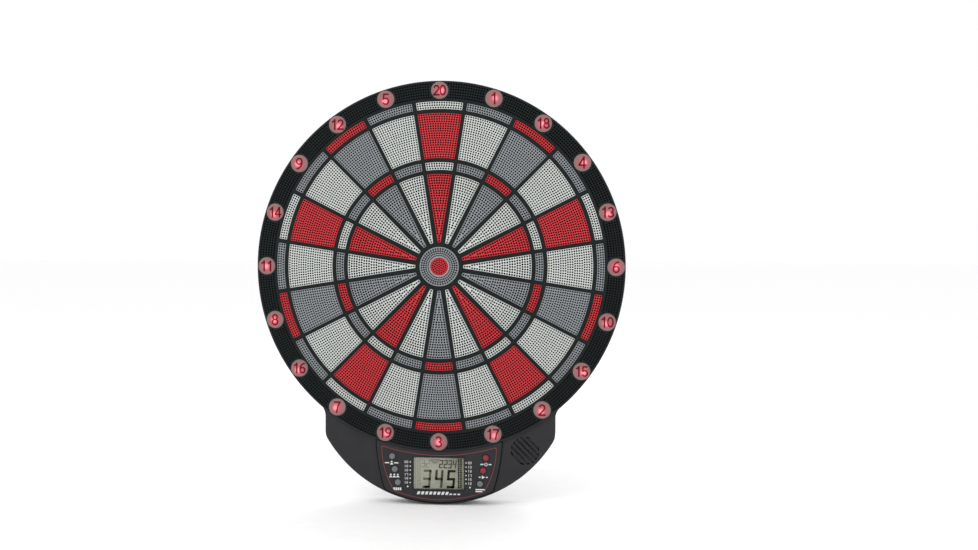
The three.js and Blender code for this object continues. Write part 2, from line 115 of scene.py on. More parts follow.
SPIDER_FRONT = depth_of("spider_ring", 0)
SPIDER_REAR = 26.8
SPIDER_WALL = 199.0
SPIDER_EDGE = 0.7
HUB_RADIUS = 24.0
PLATE_REAR = 33.2
PLATE_EDGE = 219.55
PLATE_HOLE_ROWS = [201.6, 204.8, 208.0, 211.2, 214.4, 217.5]
PLATE_HOLES_PER_NUMBER = 22
PLATE_HOLE = 1.1
PLATE_HOLE_CLEARANCE = 1.9

NUMBER_PITCH_RADIUS = 210.0
NUMBER_WINDOW = 10.85
LENS_RADIUS = 10.65
LENS_FRONT = depth_of("number_lens_ring", 0)
LENS_BAND = (200.6, 216.2)
LENS_BAND_DEPTH = (28.2, 30.6)

BODY_RADIUS = 222.0
POD_HALF_WIDTH = 139.2
POD_RADIUS = 160.0
POD_CENTRE_Z = -126.0
POD_FILLET = 20.0
POD_CORNER = 20.0
PANEL_CENTRE_Z = -128.0
SEAM = 8.0
FACE = 32.8
FACE_REAR = 30.0
WALL = 2.5
RIM_INNER = 219.85
RIM_OUTER = 221.22
RIM_FRONT = depth_of("front_housing", 0)

DISPLAY_Z = -248.2
SCREEN = (61.9, 39.2)
PICTURE = (60.7, 37.8)
WINDOW = (63.0, 40.6)
PANEL_REAR = depth_of("control_panel", 1)
PANEL_FRONT = depth_of("control_panel", 0)
BUTTON_RADIUS = 3.6
BUTTON_FRONT = depth_of("button_left_top", 0)
BUTTON_ROWS = {"top": (56.5, -228.4), "middle": (53.3, -243.8), "lower": (49.6, -259.7)}
SPEAKER = (103.2, -219.5)
GRILLE_RADIUS = 16.8
SLOT_WIDTH = 2.9
SLOT_PITCH = 5.4
SLOTS = 6

BAY = {"half_x": 28.4, "half_z": 23.4, "z": -248.5, "front": 17.8, "wall": 2.0}
SCREWS = 5
SCREW_RADIUS = 210.5
FIELDS = 8
KEYHOLE = {"x": 100.0, "z": 140.0, "radius": 4.6, "slot": 2.3, "rise": 9.0}

SHARP_ANGLE = math.radians(34)
GRAIN_HEIGHT = 0.0002

random.seed(20)


# ---- camera, light and floor ----


def new_object(name, data):
    """An object made of the data, in the scene."""
    made = bpy.data.objects.new(name, data)
    bpy.context.scene.collection.objects.link(made)
    return made


def make_camera():
    data = bpy.data.cameras.new("camera")
    data.sensor_width = 36
    data.lens = 38.67
    data.clip_end = 100
    camera = new_object("camera", data)
    spot = Vector((156.65, -1281.4, 14.4)) * MM
    aim = Vector((59.72, -36.0, -9.75)) * MM
    turn = (aim - spot).to_track_quat("-Z", "Y")
    roll = Matrix.Rotation(math.radians(0.19), 4, "Z")
    camera.matrix_world = Matrix.Translation(spot) @ turn.to_matrix().to_4x4() @ roll
    bpy.context.scene.camera = camera


def area_light(name, spot, size, power):
    """A square light that faces the origin."""
    data = bpy.data.lights.new(name, "AREA")
    data.size = size
    data.energy = power
    light = new_object(name, data)
    light.location = spot
    light.rotation_mode = "QUATERNION"
    light.rotation_quaternion = (-Vector(spot)).to_track_quat("-Z", "Y")


def make_stage():
    world = bpy.data.worlds.new("studio")
    bpy.context.scene.world = world
    world.use_nodes = True
    background = world.node_tree.nodes["Background"]
    background.inputs["Color"].default_value = (1, 1, 1, 1)
    background.inputs["Strength"].default_value = 1.0
    bpy.context.scene.view_settings.view_transform = "Standard"
    area_light("key", (-1.1, -1.5, 1.5), 1.2, 14)
    area_light("fill", (1.6, -1.2, 0.5), 1.4, 4)
    area_light("rear", (0.8, 1.8, 1.3), 1.4, 12)
    bottom = cad_box[0].z - 0.0005
    corners = [(-40, -40), (40, -40), (40, 40), (-40, 40)]
    mesh = bpy.data.meshes.new("floor")
    mesh.from_pydata([(x, y, bottom) for x, y in corners], [], [(0, 1, 2, 3)])
    mesh.materials.append(plastic("floor_paint", (254, 254, 254), 0.9, grain=0.02, bump=0.0))
    floor = new_object("floor", mesh)


# ---- materials ----


def linear(colour):
    """A colour given as 0 to 255 in sRGB, in linear light."""
    channels = [c / 255 for c in colour]
    channels = [c / 12.92 if c <= 0.04045 else ((c + 0.055) / 1.055) ** 2.4 for c in channels]
    return (*channels, 1.0)


class Nodes:
    """Shorthand for building a material's node tree."""

    def __init__(self, name):
        self.material = bpy.data.materials.new(name)
        self.material.use_nodes = True
        self.tree = self.material.node_tree
        self.shader = self.tree.nodes["Principled BSDF"]
        self.place = self.add("ShaderNodeTexCoord").outputs["Object"]

    def add(self, kind, **settings):
        node = self.tree.nodes.new(kind)
        for key, value in settings.items():
            setattr(node, key, value)
        return node

    def plug(self, socket, value):
        """Links a socket to another node's output, or sets it to a number or colour."""
        if isinstance(value, bpy.types.NodeSocket):
            self.tree.links.new(value, socket)
        else:
            socket.default_value = value

    def feed(self, node, **values):
        for key, value in values.items():
            self.plug(node.inputs[key.replace("_", " ")], value)

    def surface(self, **values):
        self.feed(self.shader, **values)

    def fill(self, node, *values):
        """Plugs values into a node's inputs in their order, and returns its output."""
        for socket, value in zip(node.inputs, values):
            self.plug(socket, value)
        return node.outputs[0]

    def math(self, operation, *values, **settings):
        return self.fill(self.add("ShaderNodeMath", operation=operation, **settings), *values)

    def noise(self, scale, detail=3.0, vector=None):
        node = self.add("ShaderNodeTexNoise")
        self.feed(node, Vector=vector or self.place, Scale=scale, Detail=detail)
        return node.outputs["Fac"]

    def stretched(self, factors):
        node = self.add("ShaderNodeMapping")
        self.feed(node, Vector=self.place, Scale=factors)
        return node.outputs["Vector"]

    def ramp(self, factor, stops):
        """A colour or grey that follows factor through (place, colour) stops."""
        node = self.add("ShaderNodeValToRGB")
        elements = node.color_ramp.elements
        while len(elements) < len(stops):
            elements.new(0.5)
        for element, (at, colour) in zip(elements, stops):
            element.position = at
            element.color = colour
        self.plug(node.inputs["Fac"], factor)
        return node.outputs["Color"]

    def bump(self, height, strength, distance=GRAIN_HEIGHT):
        node = self.add("ShaderNodeBump")
        self.feed(node, Height=height, Strength=strength, Distance=distance)
        self.surface(Normal=node.outputs["Normal"])

    def roughness(self, factor, low, high):
        self.surface(Roughness=self.ramp(factor, [(0.3, grey(low)), (0.7, grey(high))]))


def grey(level):
    return (level, level, level, 1.0)


def shade(colour, factor):
    return (*[min(1.0, c * factor) for c in colour[:3]], 1.0)


def linear_stops(stops):
    return [(at, linear(colour)) for at, colour in stops]


def plastic(name, colour, roughness, grain=0.06, grain_scale=900, bump=0.12, specular=0.5):
    """Moulded plastic: a faint mottle, a fine spark-eroded grain and uneven gloss."""
    nodes = Nodes(name)
    base = linear(colour)
    mottle = nodes.noise(55, 4.0)
    stops = [(0.25, shade(base, 1 - grain)), (0.75, shade(base, 1 + grain))]
    nodes.surface(Base_Color=nodes.ramp(mottle, stops), Specular_IOR_Level=specular)
    fine = nodes.noise(grain_scale, 2.0)
    nodes.roughness(fine, roughness - 0.06, roughness + 0.06)
    if bump:
        nodes.bump(fine, bump)
    return nodes.material


def metal(name, colour, roughness):
    """Plated sheet or wire with faint rolling lines and dulled patches."""
    nodes = Nodes(name)
    base = linear(colour)
    lines = nodes.noise(400, 4.0, nodes.stretched((1, 1, 12)))
    nodes.surface(Base_Color=nodes.ramp(lines, [(0.3, shade(base, 0.86)), (0.7, base)]), Metallic=1.0)
    nodes.roughness(nodes.noise(60, 4.0), roughness - 0.07, roughness + 0.1)
    nodes.bump(lines, 0.08)
    return nodes.material


def lens_material(name, stops, lamp, gloss=1.0):
    """Frosted plastic lit by a lamp behind it, brightest where the attribute 'glow' is 1."""
    nodes = Nodes(name)
    cloud = nodes.noise(500, 2.0)
    lit = nodes.add("ShaderNodeAttribute", attribute_name="glow").outputs["Fac"]
    glow = nodes.math("MULTIPLY_ADD", cloud, 0.06, lit)
    nodes.surface(
        Base_Color=nodes.ramp(glow, linear_stops(stops)),
        Emission_Color=nodes.ramp(glow, linear_stops(lamp)),
        Emission_Strength=0.5,
        Coat_Weight=0.3 * gloss,
        Specular_IOR_Level=0.5 * gloss,
    )
    nodes.roughness(cloud, 0.28, 0.4)
    return nodes.material


def window_material(name):
    """Clear acrylic: it shows what lies behind it and mirrors a little."""
    nodes = Nodes(name)
    clear = nodes.add("ShaderNodeBsdfTransparent")
    tint = nodes.ramp(nodes.noise(12), [(0.3, (0.97, 0.98, 0.97, 1)), (0.7, (0.99, 0.99, 0.98, 1))])
    nodes.feed(clear, Color=tint)
    gloss = nodes.add("ShaderNodeBsdfGlossy")
    nodes.feed(gloss, Roughness=0.08)
    edge = nodes.add("ShaderNodeLayerWeight")
    nodes.feed(edge, Blend=0.12)
    behind = nodes.add("ShaderNodeNewGeometry").outputs["Backfacing"]
    front = nodes.math("SUBTRACT", edge.outputs["Facing"], behind, use_clamp=True)
    mix = nodes.fill(
        nodes.add("ShaderNodeMixShader"), front, clear.outputs["BSDF"], gloss.outputs["BSDF"])
    nodes.feed(nodes.tree.nodes["Material Output"], Surface=mix)
    return nodes.material


def board_material(name, dark, bright, scale):
    """A circuit board: solder mask with tracks showing through as lighter lines."""
    nodes = Nodes(name)
    cells = nodes.add("ShaderNodeTexVoronoi", distance="CHEBYCHEV", feature="F2")
    nodes.feed(cells, Vector=nodes.place, Scale=scale)
    away = cells.outputs["Distance"]
    nodes.surface(Base_Color=nodes.ramp(away, linear_stops([(0.55, dark), (0.6, bright)])))
    nodes.roughness(nodes.noise(200), 0.3, 0.42)
    nodes.bump(away, 0.1)
    return nodes.material


def fibre_material(name, colour):
    """Pressed hardboard: short fibres in two browns."""
    nodes = Nodes(name)
    base = linear(colour)
    fibres = nodes.noise(700, 8.0, nodes.stretched((1, 1, 3)))
    nodes.surface(Base_Color=nodes.ramp(fibres, [(0.3, shade(base, 0.6)), (0.7, shade(base, 1.3))]))
    nodes.roughness(fibres, 0.75, 0.95)
    nodes.bump(fibres, 0.3, 2 * GRAIN_HEIGHT)
    return nodes.material


def display_material(name):
    """Reflective liquid crystal behind glass, with painted shade that makes it a little darker and
    greener to one side.
    """
    nodes = Nodes(name)
    axes = nodes.add("ShaderNodeSeparateXYZ")
    nodes.feed(axes, Vector=nodes.place)
    # Painted shade: the colour darkens and turns greener towards +x, with a little noise.
    side_shade = nodes.math("MULTIPLY_ADD", axes.outputs["X"], 14.0, nodes.noise(28, 2.0))
    colours = linear_stops([(0.1, (163, 164, 154)), (0.5, (150, 150, 136)), (0.9, (111, 109, 88))])
    nodes.surface(Base_Color=nodes.ramp(side_shade, colours), Coat_Weight=0.4)
    nodes.roughness(nodes.noise(900), 0.2, 0.32)
    return nodes.material


MATERIALS = {
    "light": plastic("nylon_light", (191, 196, 192), 0.5, grain=0.04, specular=0.3),
    "grey": plastic("nylon_grey", (130, 135, 138), 0.5, grain=0.05, specular=0.3),
    "red": plastic("nylon_red", (185, 44, 50), 0.5, grain=0.06, specular=0.3),
    "black": plastic("plastic_black", (29, 33, 33), 0.5, grain=0.15, specular=0.06),
    "charcoal": plastic(
        "plastic_charcoal", (44, 44, 46), 0.62, grain=0.1, grain_scale=1400, bump=0.25, specular=0.16),
    "rear": plastic(
        "plastic_rear", (42, 43, 45), 0.66, grain=0.1, grain_scale=1100, bump=0.35, specular=0.2),
    # Painted highlights for the two ridges round the outer bull.
    "lip_grey": plastic("painted_highlight_grey", (116, 126, 126), 0.42, grain=0.05),
    "lip_pink": plastic("painted_highlight_pink", (205, 122, 122), 0.42, grain=0.05),
    "button_grey": plastic("button_grey", (100, 105, 109), 0.45, grain=0.05, specular=0.4),
    "button_red": plastic("button_red", (128, 38, 46), 0.42, grain=0.05, specular=0.4),
    "print_red": plastic("print_red", (122, 44, 46), 0.5, grain=0.05),
    "print_white": plastic("print_white", (206, 208, 206), 0.55, grain=0.05),
    "lcd": display_material("liquid_crystal"),
    "rubber": plastic("rubber", (38, 39, 41), 0.85, grain=0.12, grain_scale=1600, bump=0.3),
    "film": plastic("printed_film", (201, 196, 174), 0.35, grain=0.05, bump=0.05),
    "circuit": board_material("circuit_board", (22, 70, 44), (64, 128, 84), 260),
    "hardboard": fibre_material("hardboard", (138, 106, 74)),
    "steel": metal("nickel_plate", (198, 200, 204), 0.3),
    "speaker": plastic(
        "speaker_cone", (66, 67, 70), 0.8, grain=0.1, grain_scale=1800, bump=0.3, specular=0.2),
    "wire": plastic("wire_jacket", (140, 34, 32), 0.4, grain=0.08),
    "cell": plastic("cell_sleeve", (34, 35, 38), 0.3, grain=0.1, bump=0.03),
    "cell_band": metal("cell_copper", (196, 138, 78), 0.28),
    "window": window_material("clear_acrylic"),
    "lens": lens_material(
        "lens_glow",
        [(0.0, (111, 94, 89)), (0.2, (127, 92, 89)), (0.36, (148, 85, 87)), (0.6, (180, 80, 91)),
         (0.95, (236, 134, 148))],
        [(0.5, (0, 0, 0)), (1.0, (232, 112, 130))],
    ),
    "digit": lens_material(
        "lit_figures",
        [(0.1, (62, 16, 20)), (0.4, (100, 8, 24)), (0.9, (160, 16, 42))],
        [(0.4, (0, 0, 0)), (1.0, (110, 8, 24))],
        gloss=0.08,
    ),
    # Painted shade for the lower walls of holes and the step under the panel's edge; the hole floors
    # also stand for the dark membrane behind.
    "hole": plastic("hole_shadow", (10, 12, 12), 0.9, grain=0.05, bump=0.0, specular=0.02),
    "lens_edge": plastic("lens_edge", (120, 104, 102), 0.35, grain=0.08),
}
for tone, colour, grain in (
    ("dark", (26, 26, 22), 0.1),
    ("mid", (70, 70, 62), 0.1),
    ("soft", (98, 98, 86), 0.1),
    ("faint", (128, 128, 116), 0.06),
):
    MATERIALS[f"lcd_{tone}"] = plastic(
        f"lcd_mark_{tone}", colour, 0.4, grain=grain, bump=0.0, specular=0.1)


# ---- outlines ----


def polar(radius, angle, centre=(0.0, 0.0)):
    return (centre[0] + radius * math.sin(angle), centre[1] + radius * math.cos(angle))


def arc(radius, start, end, steps, centre=(0.0, 0.0)):
    return [polar(radius, start + (end - start) * i / steps, centre) for i in range(steps + 1)]


def circle(radius, steps, centre=(0.0, 0.0)):
    return arc(radius, 0, -2 * math.pi, steps, centre)[:-1]


def rectangle(width, height, centre=(0.0, 0.0), corner=0.0):
    """A rectangle with rounded corners."""
    if not corner:
        half_x, half_z = width / 2, height / 2
        signs = [(-1, -1), (1, -1), (1, 1), (-1, 1)]
        return [(centre[0] + x * half_x, centre[1] + z * half_z) for x, z in signs]
    points = []
    turns = [(1, 1, 0.5), (-1, 1, 0.0), (-1, -1, -0.5), (1, -1, -1.0)]
    for sign_x, sign_z, quarter in turns:
        middle = (centre[0] + sign_x * (width / 2 - corner), centre[1] + sign_z * (height / 2 - corner))
        start = quarter * math.pi
        points += arc(corner, start, start - math.pi / 2, 4, middle)
    return points


def softened(outline, size):
    """The outline with each sharp turn cut by a short curve."""
    points = []
    for i, here in enumerate(outline):
        before, after = Vector(outline[i - 1]), Vector(outline[(i + 1) % len(outline)])
        here = Vector(here)
        into, out = (here - before), (after - here)
        if into.angle(out) < math.radians(40):
            points.append(tuple(here))
            continue
        cut_in = here - into.normalized() * min(size, into.length / 2)
        cut_out = here + out.normalized() * min(size, out.length / 2)
        points += [tuple(cut_in), tuple((cut_in + cut_out + 2 * here) / 4), tuple(cut_out)]
    return points


def contains(outline, point):
    inside = False
    x, z = point
    for (x0, z0), (x1, z1) in zip(outline, outline[1:] + outline[:1]):
        if (z0 > z) != (z1 > z) and x < x0 + (z - z0) * (x1 - x0) / (z1 - z0):
            inside = not inside
    return inside


# ---- closed shells ----


class Shell:
    """The points and faces of one closed piece."""

    def __init__(self):
        self.points = []
        self.faces = []
        self.looks = []
        self.look = 0
        # The second material goes on faces whose look is 1; by default it is the painted shade of holes.
        self.second = "hole"

    def add(self, faces):
        self.faces += faces
        self.looks += [self.look] * len(faces)

    def loop(self, outline, depth):
        """Adds the outline at a depth and returns the numbers of its points."""
        start = len(self.points)
        self.points += [(x, -depth, z) for x, z in outline]
        return list(range(start, len(self.points)))

    def wall(self, front, rear):
        """Faces between two loops. They face outwards, or inwards if front and rear are swapped."""
        self.add(list(zip(front, rear, rear[1:] + rear[:1], front[1:] + front[:1])))

    def walls(self, loops, inwards=False):
        """Faces between each two of several loops, given from the rear to the front."""
        for rear, front in zip(loops, loops[1:]):
            self.wall(*((rear, front) if inwards else (front, rear)))

    def skirt(self, outline_at, steps, inwards=False):
        """Walls through outline_at(size) at each (size, depth), rear first. Returns their loops."""
        loops = [self.loop(outline_at(size), depth) for size, depth in steps]
        self.walls(loops, inwards)
        return loops

    def tube(self, outline, rear, front, inwards=False):
        """Straight walls along an outline."""
        return self.skirt(lambda _: outline, [(0, rear), (0, front)], inwards)

    def close(self, loops, holes=(), rear_holes=()):
        """Flat faces over the front and the rear end of a wall."""
        self.cap(loops[-1], holes)
        self.cap(loops[0], rear_holes, rear=True)

    def prism(self, outline, rear, front):
        self.close(self.tube(outline, rear, front))

    def recess(self, outline_at, steps, holes=()):
        """A hollow in the rear face. Returns its loop in that face."""
        loops = self.skirt(outline_at, steps, inwards=True)
        self.cap(loops[-1], holes, rear=True)
        return loops[0]

    def hoop(self, outer_at, inner_at, steps):
        """A closed ring between two outlines."""
        outside = self.skirt(outer_at, steps)
        inside = self.skirt(inner_at, steps, inwards=True)
        self.wall(inside[-1], outside[-1])
        self.wall(outside[0], inside[0])

    def cap(self, outer, holes=(), rear=False):
        """A flat face inside outer and outside holes."""
        loops = [outer, *holes]
        numbers = [i for loop in loops for i in loop]
        flat = [Vector((self.points[i][0], self.points[i][2])) for i in numbers]
        edges, owner = [], []
        for which, loop in enumerate(loops):
            first = len(owner)
            edges += [(first + i, first + (i + 1) % len(loop)) for i in range(len(loop))]
            owner += [which] * len(loop)
        verts, _, faces, origin, _, _ = geometry.delaunay_2d_cdt(flat, edges, [], 0, 1e-6)
        outlines, made = {}, []
        for face in faces:
            if any(not origin[v] for v in face):
                bad = [(round(verts[v].x, 2), round(verts[v].y, 2)) for v in face if not origin[v]]
                raise ValueError(f"edges cross at {bad}")
            corners = [origin[v][0] for v in face]
            owners = {owner[c] for c in corners}
            if len(owners) == 1:
                which = owners.pop()
                if which not in outlines:
                    outlines[which] = [(self.points[i][0], self.points[i][2]) for i in loops[which]]
                middle = sum((flat[c] for c in corners), Vector((0, 0))) / 3
                if contains(outlines[which], middle) != (which == 0):
                    continue
            a, b, c = (flat[corner] for corner in corners)
            anticlockwise = (b - a).cross(c - a) > 0
            if anticlockwise == rear:
                corners.reverse()
            made.append(tuple(numbers[c] for c in corners))
        self.add(made)

    def pocket(self, centre, radius, front, lip=HOLE_LIP, depth=HOLE_DEPTH):
        """A blind hole with a chamfered edge, its wall below the chamfer and its floor in painted shade.
        Returns its loop in the front face.
        """
        edge = self.loop(circle(radius + lip, HOLE_SIDES, centre), front)
        throat = self.loop(circle(radius, HOLE_SIDES, centre), front - lip)
        floor = self.loop(circle(radius * HOLE_TAPER, HOLE_SIDES, centre), front - depth)
        self.wall(throat, edge)
        # Painted shade from the throat down; the dark floor also stands for the membrane behind the real
        # holes.
        self.look = 1
        self.wall(floor, throat)
        self.add([tuple(floor)])
        self.look = 0
        return edge

    def through(self, outline_at, front, rear, bevel):
        """A hole right through, with a small bevel at the front. outline_at(grow) gives its outline."""
        edge = self.loop(outline_at(bevel), front)
        throat = self.loop(outline_at(0.0), front - bevel)
        back = self.loop(outline_at(0.0), rear)
        self.wall(throat, edge)
        self.wall(back, throat)
        return edge, back

    def pierce(self, outlines, front, rear, bevel):
        """Several such holes. Returns their loops in the front face and those in the rear face."""
        return map(list, zip(*(self.through(outline, front, rear, bevel) for outline in outlines)))

    def mesh(self, name):
        made = bpy.data.meshes.new(name)
        made.from_pydata([Vector(point) * MM for point in self.points], [], self.faces)
        made.materials.append(None)
        if any(self.looks):
            made.materials.append(MATERIALS[self.second])
            made.polygons.foreach_set("material_index", self.looks)
        made.shade_smooth()
        made.set_sharp_from_angle(angle=SHARP_ANGLE)
        return made

    def piece(self, name, material, body, slot, *replaces, angle=0.0):
        return place(name, self.mesh(name), material, body, replaces, angle)


def place(name, mesh, material, body, replaces=(), angle=0.0):
    """Makes a piece of a mesh, turned about the bull's axis, and fastens it to its body."""
    piece = new_object(name, mesh)
    piece.material_slots[0].link = "OBJECT"
    piece.material_slots[0].material = MATERIALS[material]
    piece.matrix_world = Matrix.Rotation(angle, 4, "Y")
    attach(piece, body)
    if replaces:
        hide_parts(*replaces)
    return piece


def turned(profile, steps, centre=(0.0, 0.0)):
    """A solid of revolution from (radius, depth) pairs between two points on its axis, rear first."""
    shell = Shell()
    loops = shell.skirt(lambda radius: circle(radius, steps, centre), profile[1:-1])
    for end, loop, rear in ((profile[0], loops[0], True), (profile[-1], loops[-1], False)):
        tip = shell.loop([centre], end[1])[0]
        pairs = zip(loop, loop[1:] + loop[:1])
        shell.add([(b, a, tip) if rear else (a, b, tip) for a, b in pairs])
    return shell


# ---- scoring segments ----


def area_outline(area, grow=0.0):
    """One scoring area of the number at the top, grown by a margin all round."""
    inner, outer, gap_inner, gap_outer = area
    outer_steps = max(4, round(outer * SECTOR / 3.2))
    inner_steps = max(2, round(inner * SECTOR / 3.2))
    inner_half = SECTOR / 2 - math.asin((gap_inner - grow) / (inner - grow))
    outer_half = SECTOR / 2 - math.asin((gap_outer - grow) / (outer + grow))
    top = arc(outer + grow, outer_half, -outer_half, outer_steps)
    bottom = arc(inner - grow, -inner_half, inner_half, inner_steps)
    return softened(top + bottom, AREA_CORNER)


def hole_places(area, rows, radius):
    """Rows of holes along arcs, evenly spread between the area's edges."""
    inner, outer, gap_inner, gap_outer = area
    edge = radius + HOLE_MARGIN
    first, last = inner + edge, outer - edge
    places = []
    for row in range(rows):
        part = row / (rows - 1)
        away = first + (last - first) * part
        gap = gap_inner + (gap_outer - gap_inner) * part
        half = SECTOR / 2 - math.asin((gap + edge) / away)
        columns = int(2 * half * away / HOLE_PITCH)
        if columns < 1:
            places.append(polar(away, 0.0))
            continue
        places += [polar(away, half * (2 * i / columns - 1)) for i in range(columns + 1)]
    return places


def rounded(rear, front, radius=0.35):
    """The (inset, depth) steps of walls whose front edge is rounded."""
    return [(0.0, rear), (0.0, front - radius), (0.3 * radius, front - 0.3 * radius), (radius, front)]


def area_mesh(name, area):
    shell = Shell()
    loops = shell.skirt(lambda inset: area_outline(area, -inset), rounded(AREA_REAR, SEGMENT_FRONT))
    rows, radius = HOLES[name]
    places = hole_places(area, rows, radius)
    shell.close(loops, [shell.pocket(at, radius, SEGMENT_FRONT) for at in places])
    return shell.mesh(name)


def make_segments():
    meshes = {kind: area_mesh(kind, area) for kind, area in AREAS.items()}
    for k, number in enumerate(NUMBERS):
        node = f"segments_{number:02d}"
        for kind, mesh in meshes.items():
            colour = (SINGLE_COLOURS if kind.startswith("single") else RING_COLOURS)[k % 4]
            name = f"segment_{number:02d}_{kind}"
            place(name, mesh, colour, node, [node], k * SECTOR)
        web = Shell()
        web.prism(WEB, SEGMENT_REAR, AREA_REAR - 0.1)
        colour = SINGLE_COLOURS[k % 4]
        web.piece(f"web_{number:02d}", colour, node, f"segment_{colour}", node, angle=k * SECTOR)


def make_bulls():
    shell = Shell()
    inner, outer = OUTER_BULL
    face = OUTER_BULL_FRONT
    loops = shell.skirt(lambda inset: circle(outer - inset, 96), rounded(SEGMENT_REAR, face))
    steps = [(0.0, SEGMENT_REAR), (0.0, face - 0.5), (0.5, face)]
    bore = shell.skirt(lambda grow: circle(inner + grow, 72), steps, inwards=True)
    holes = [bore[-1]]
    for radius in OUTER_BULL_ROWS:
        size = min(OUTER_BULL_HOLE, 0.44 * 2 * math.pi * radius / OUTER_BULL_SPOKES)
        for i in range(OUTER_BULL_SPOKES):
            at = polar(radius, (i + 0.5) * 2 * math.pi / OUTER_BULL_SPOKES)
            holes.append(shell.pocket(at, size, face, lip=0.06))
    shell.close(loops, holes, [bore[0]])
    shell.piece("bull_outer_segment", "grey", "bull_outer", "segment_grey", "bull_outer")
    # Two ridges at the outer bull's edges, coloured with painted highlights.
    for name, radius, material in (
        ("bull_outer_lip", outer - 0.75, "lip_grey"),
        ("bull_outer_bore_lip", inner + 0.6, "lip_pink"),
    ):
        shell = Shell()
        ridge = [(0.4, SEGMENT_FRONT - 0.5), (0.35, SEGMENT_FRONT - 0.1), (0.12, SEGMENT_FRONT)]
        shell.hoop(
            lambda half: circle(radius + half, 96), lambda half: circle(radius - half, 96), ridge)
        shell.piece(name, material, "bull_outer", "segment_grey", "bull_outer")

    shell = Shell()
    steps = rounded(SEGMENT_REAR, SEGMENT_FRONT, 0.8)
    loops = shell.skirt(lambda inset: circle(BULL_RADIUS - inset, 72), steps)
    places = [(0.0, 0.0)]
    for radius, count in BULL_ROWS:
        places += [polar(radius, i * 2 * math.pi / count) for i in range(count)]
    shell.close(loops, [shell.pocket(at, BULL_HOLE, SEGMENT_FRONT) for at in places])
    shell.piece("bull_inner_segment", "red", "bull_inner", "segment_red", "bull_inner")


# ---- spider with the number ring ----


def plate_outline(edge, window, outwards=False):
    """A circle that each number window breaks through, so that it is cut back or bulges outwards."""
    points = []
    pitch = NUMBER_PITCH_RADIUS
    notch = math.acos((edge**2 + pitch**2 - window**2) / (2 * edge * pitch))
    reach = math.acos((edge**2 - pitch**2 - window**2) / (2 * pitch * window))
    for k in range(len(NUMBERS)):
        middle = -k * SECTOR
        centre = polar(pitch, middle)
        if outwards:
            points += arc(window, middle + reach, middle - reach, 8, centre)
        else:
            points += arc(window, middle + reach, middle + 2 * math.pi - reach, 28, centre)
        points += arc(edge, middle - notch, middle - SECTOR + notch, 16)[1:-1]
    return points


def make_spider():
    shell = Shell()
    rear, front = SPIDER_REAR, SPIDER_FRONT
    front_holes, rear_holes = [], []
    for area in AREAS.values():
        for k in range(len(NUMBERS)):
            cos, sin = math.cos(-k * SECTOR), math.sin(-k * SECTOR)

            def outline(grow):
                flat = area_outline(area, AREA_CLEARANCE + grow)
                return [(x * cos - z * sin, x * sin + z * cos) for x, z in flat]

            loops = shell.skirt(outline, rounded(rear, front, SPIDER_EDGE), inwards=True)
            front_holes.append(loops[-1])
            rear_holes.append(loops[0])
    steps = [(0.0, rear), (0.0, front - 0.9), (0.9, front)]
    hub = shell.skirt(lambda grow: circle(HUB_RADIUS + grow, 96), steps, inwards=True)
    for radius in PLATE_HOLE_ROWS:
        for i in range(len(NUMBERS) * PLATE_HOLES_PER_NUMBER):
            angle = (i + 0.5) * SECTOR / PLATE_HOLES_PER_NUMBER
            window = Vector(polar(NUMBER_PITCH_RADIUS, round(angle / SECTOR) * SECTOR))
            at = Vector(polar(radius, angle))
            if (at - window).length > NUMBER_WINDOW + PLATE_HOLE_CLEARANCE:
                front_holes.append(shell.pocket(at, PLATE_HOLE, front, lip=0.1, depth=2.2))
    edge = shell.skirt(
        lambda inset: plate_outline(PLATE_EDGE - inset, NUMBER_WINDOW + inset),
        rounded(PLATE_REAR, front, 0.5))
    waist = shell.tube(circle(SPIDER_WALL, 180), rear, PLATE_REAR)
    shell.close(edge, [hub[-1], *front_holes], [waist[-1]])
    shell.cap(waist[0], [hub[0], *rear_holes], rear=True)
    shell.piece("spider", "black", HOUSING, "black_plastic", "spider_ring")


# ---- number windows ----


def bow(centre_x, centre_z, radius_x, radius_z, start, end, steps=14):
    """Part of an ellipse, from a start to an end angle in degrees clockwise from straight up."""
    angles = [math.radians(start + (end - start) * i / steps) for i in range(steps + 1)]
    return [(centre_x + radius_x * math.sin(a), centre_z + radius_z * math.cos(a)) for a in angles]


def oval(*shape):
    """A whole ellipse in two strokes."""
    return [bow(*shape, 0, 180), bow(*shape, 180, 360)]


# The strokes of each figure of the number ring, in a box one unit high.
FIGURES = {
    "0": oval(0, 0.5, 0.23, 0.42),
    "1": [[(0.06, 0.0), (0.06, 1.0)], [(0.06, 0.93), (-0.04, 0.8), (-0.2, 0.72)]],
    "2": [[*bow(0, 0.68, 0.22, 0.24, -78, 118), (-0.23, 0.1)], [(-0.31, 0.08), (0.3, 0.08)]],
    "3": [bow(-0.02, 0.7, 0.21, 0.22, -70, 182), bow(-0.02, 0.29, 0.24, 0.21, 0, 252)],
    "4": [[(0.12, 0.0), (0.12, 1.0)], [(0.1, 0.93), (-0.27, 0.32)], [(-0.34, 0.28), (0.3, 0.28)]],
    "5": [[(-0.2, 0.92), (0.25, 0.92)], [(-0.15, 0.92), (-0.2, 0.47)],
          bow(0, 0.33, 0.24, 0.25, -52, 248)],
    "6": [*oval(0, 0.32, 0.23, 0.24), bow(0.16, 0.34, 0.39, 0.58, -90, 12)],
    "7": [[(-0.29, 0.92), (0.29, 0.92)], [(0.24, 0.9), (0.05, 0.55), (-0.06, 0.0)]],
    "8": [*oval(0, 0.71, 0.19, 0.21), *oval(0, 0.29, 0.23, 0.22)],
    "9": [*oval(0, 0.68, 0.23, 0.24), bow(-0.16, 0.66, 0.39, 0.58, 90, 192)],
}


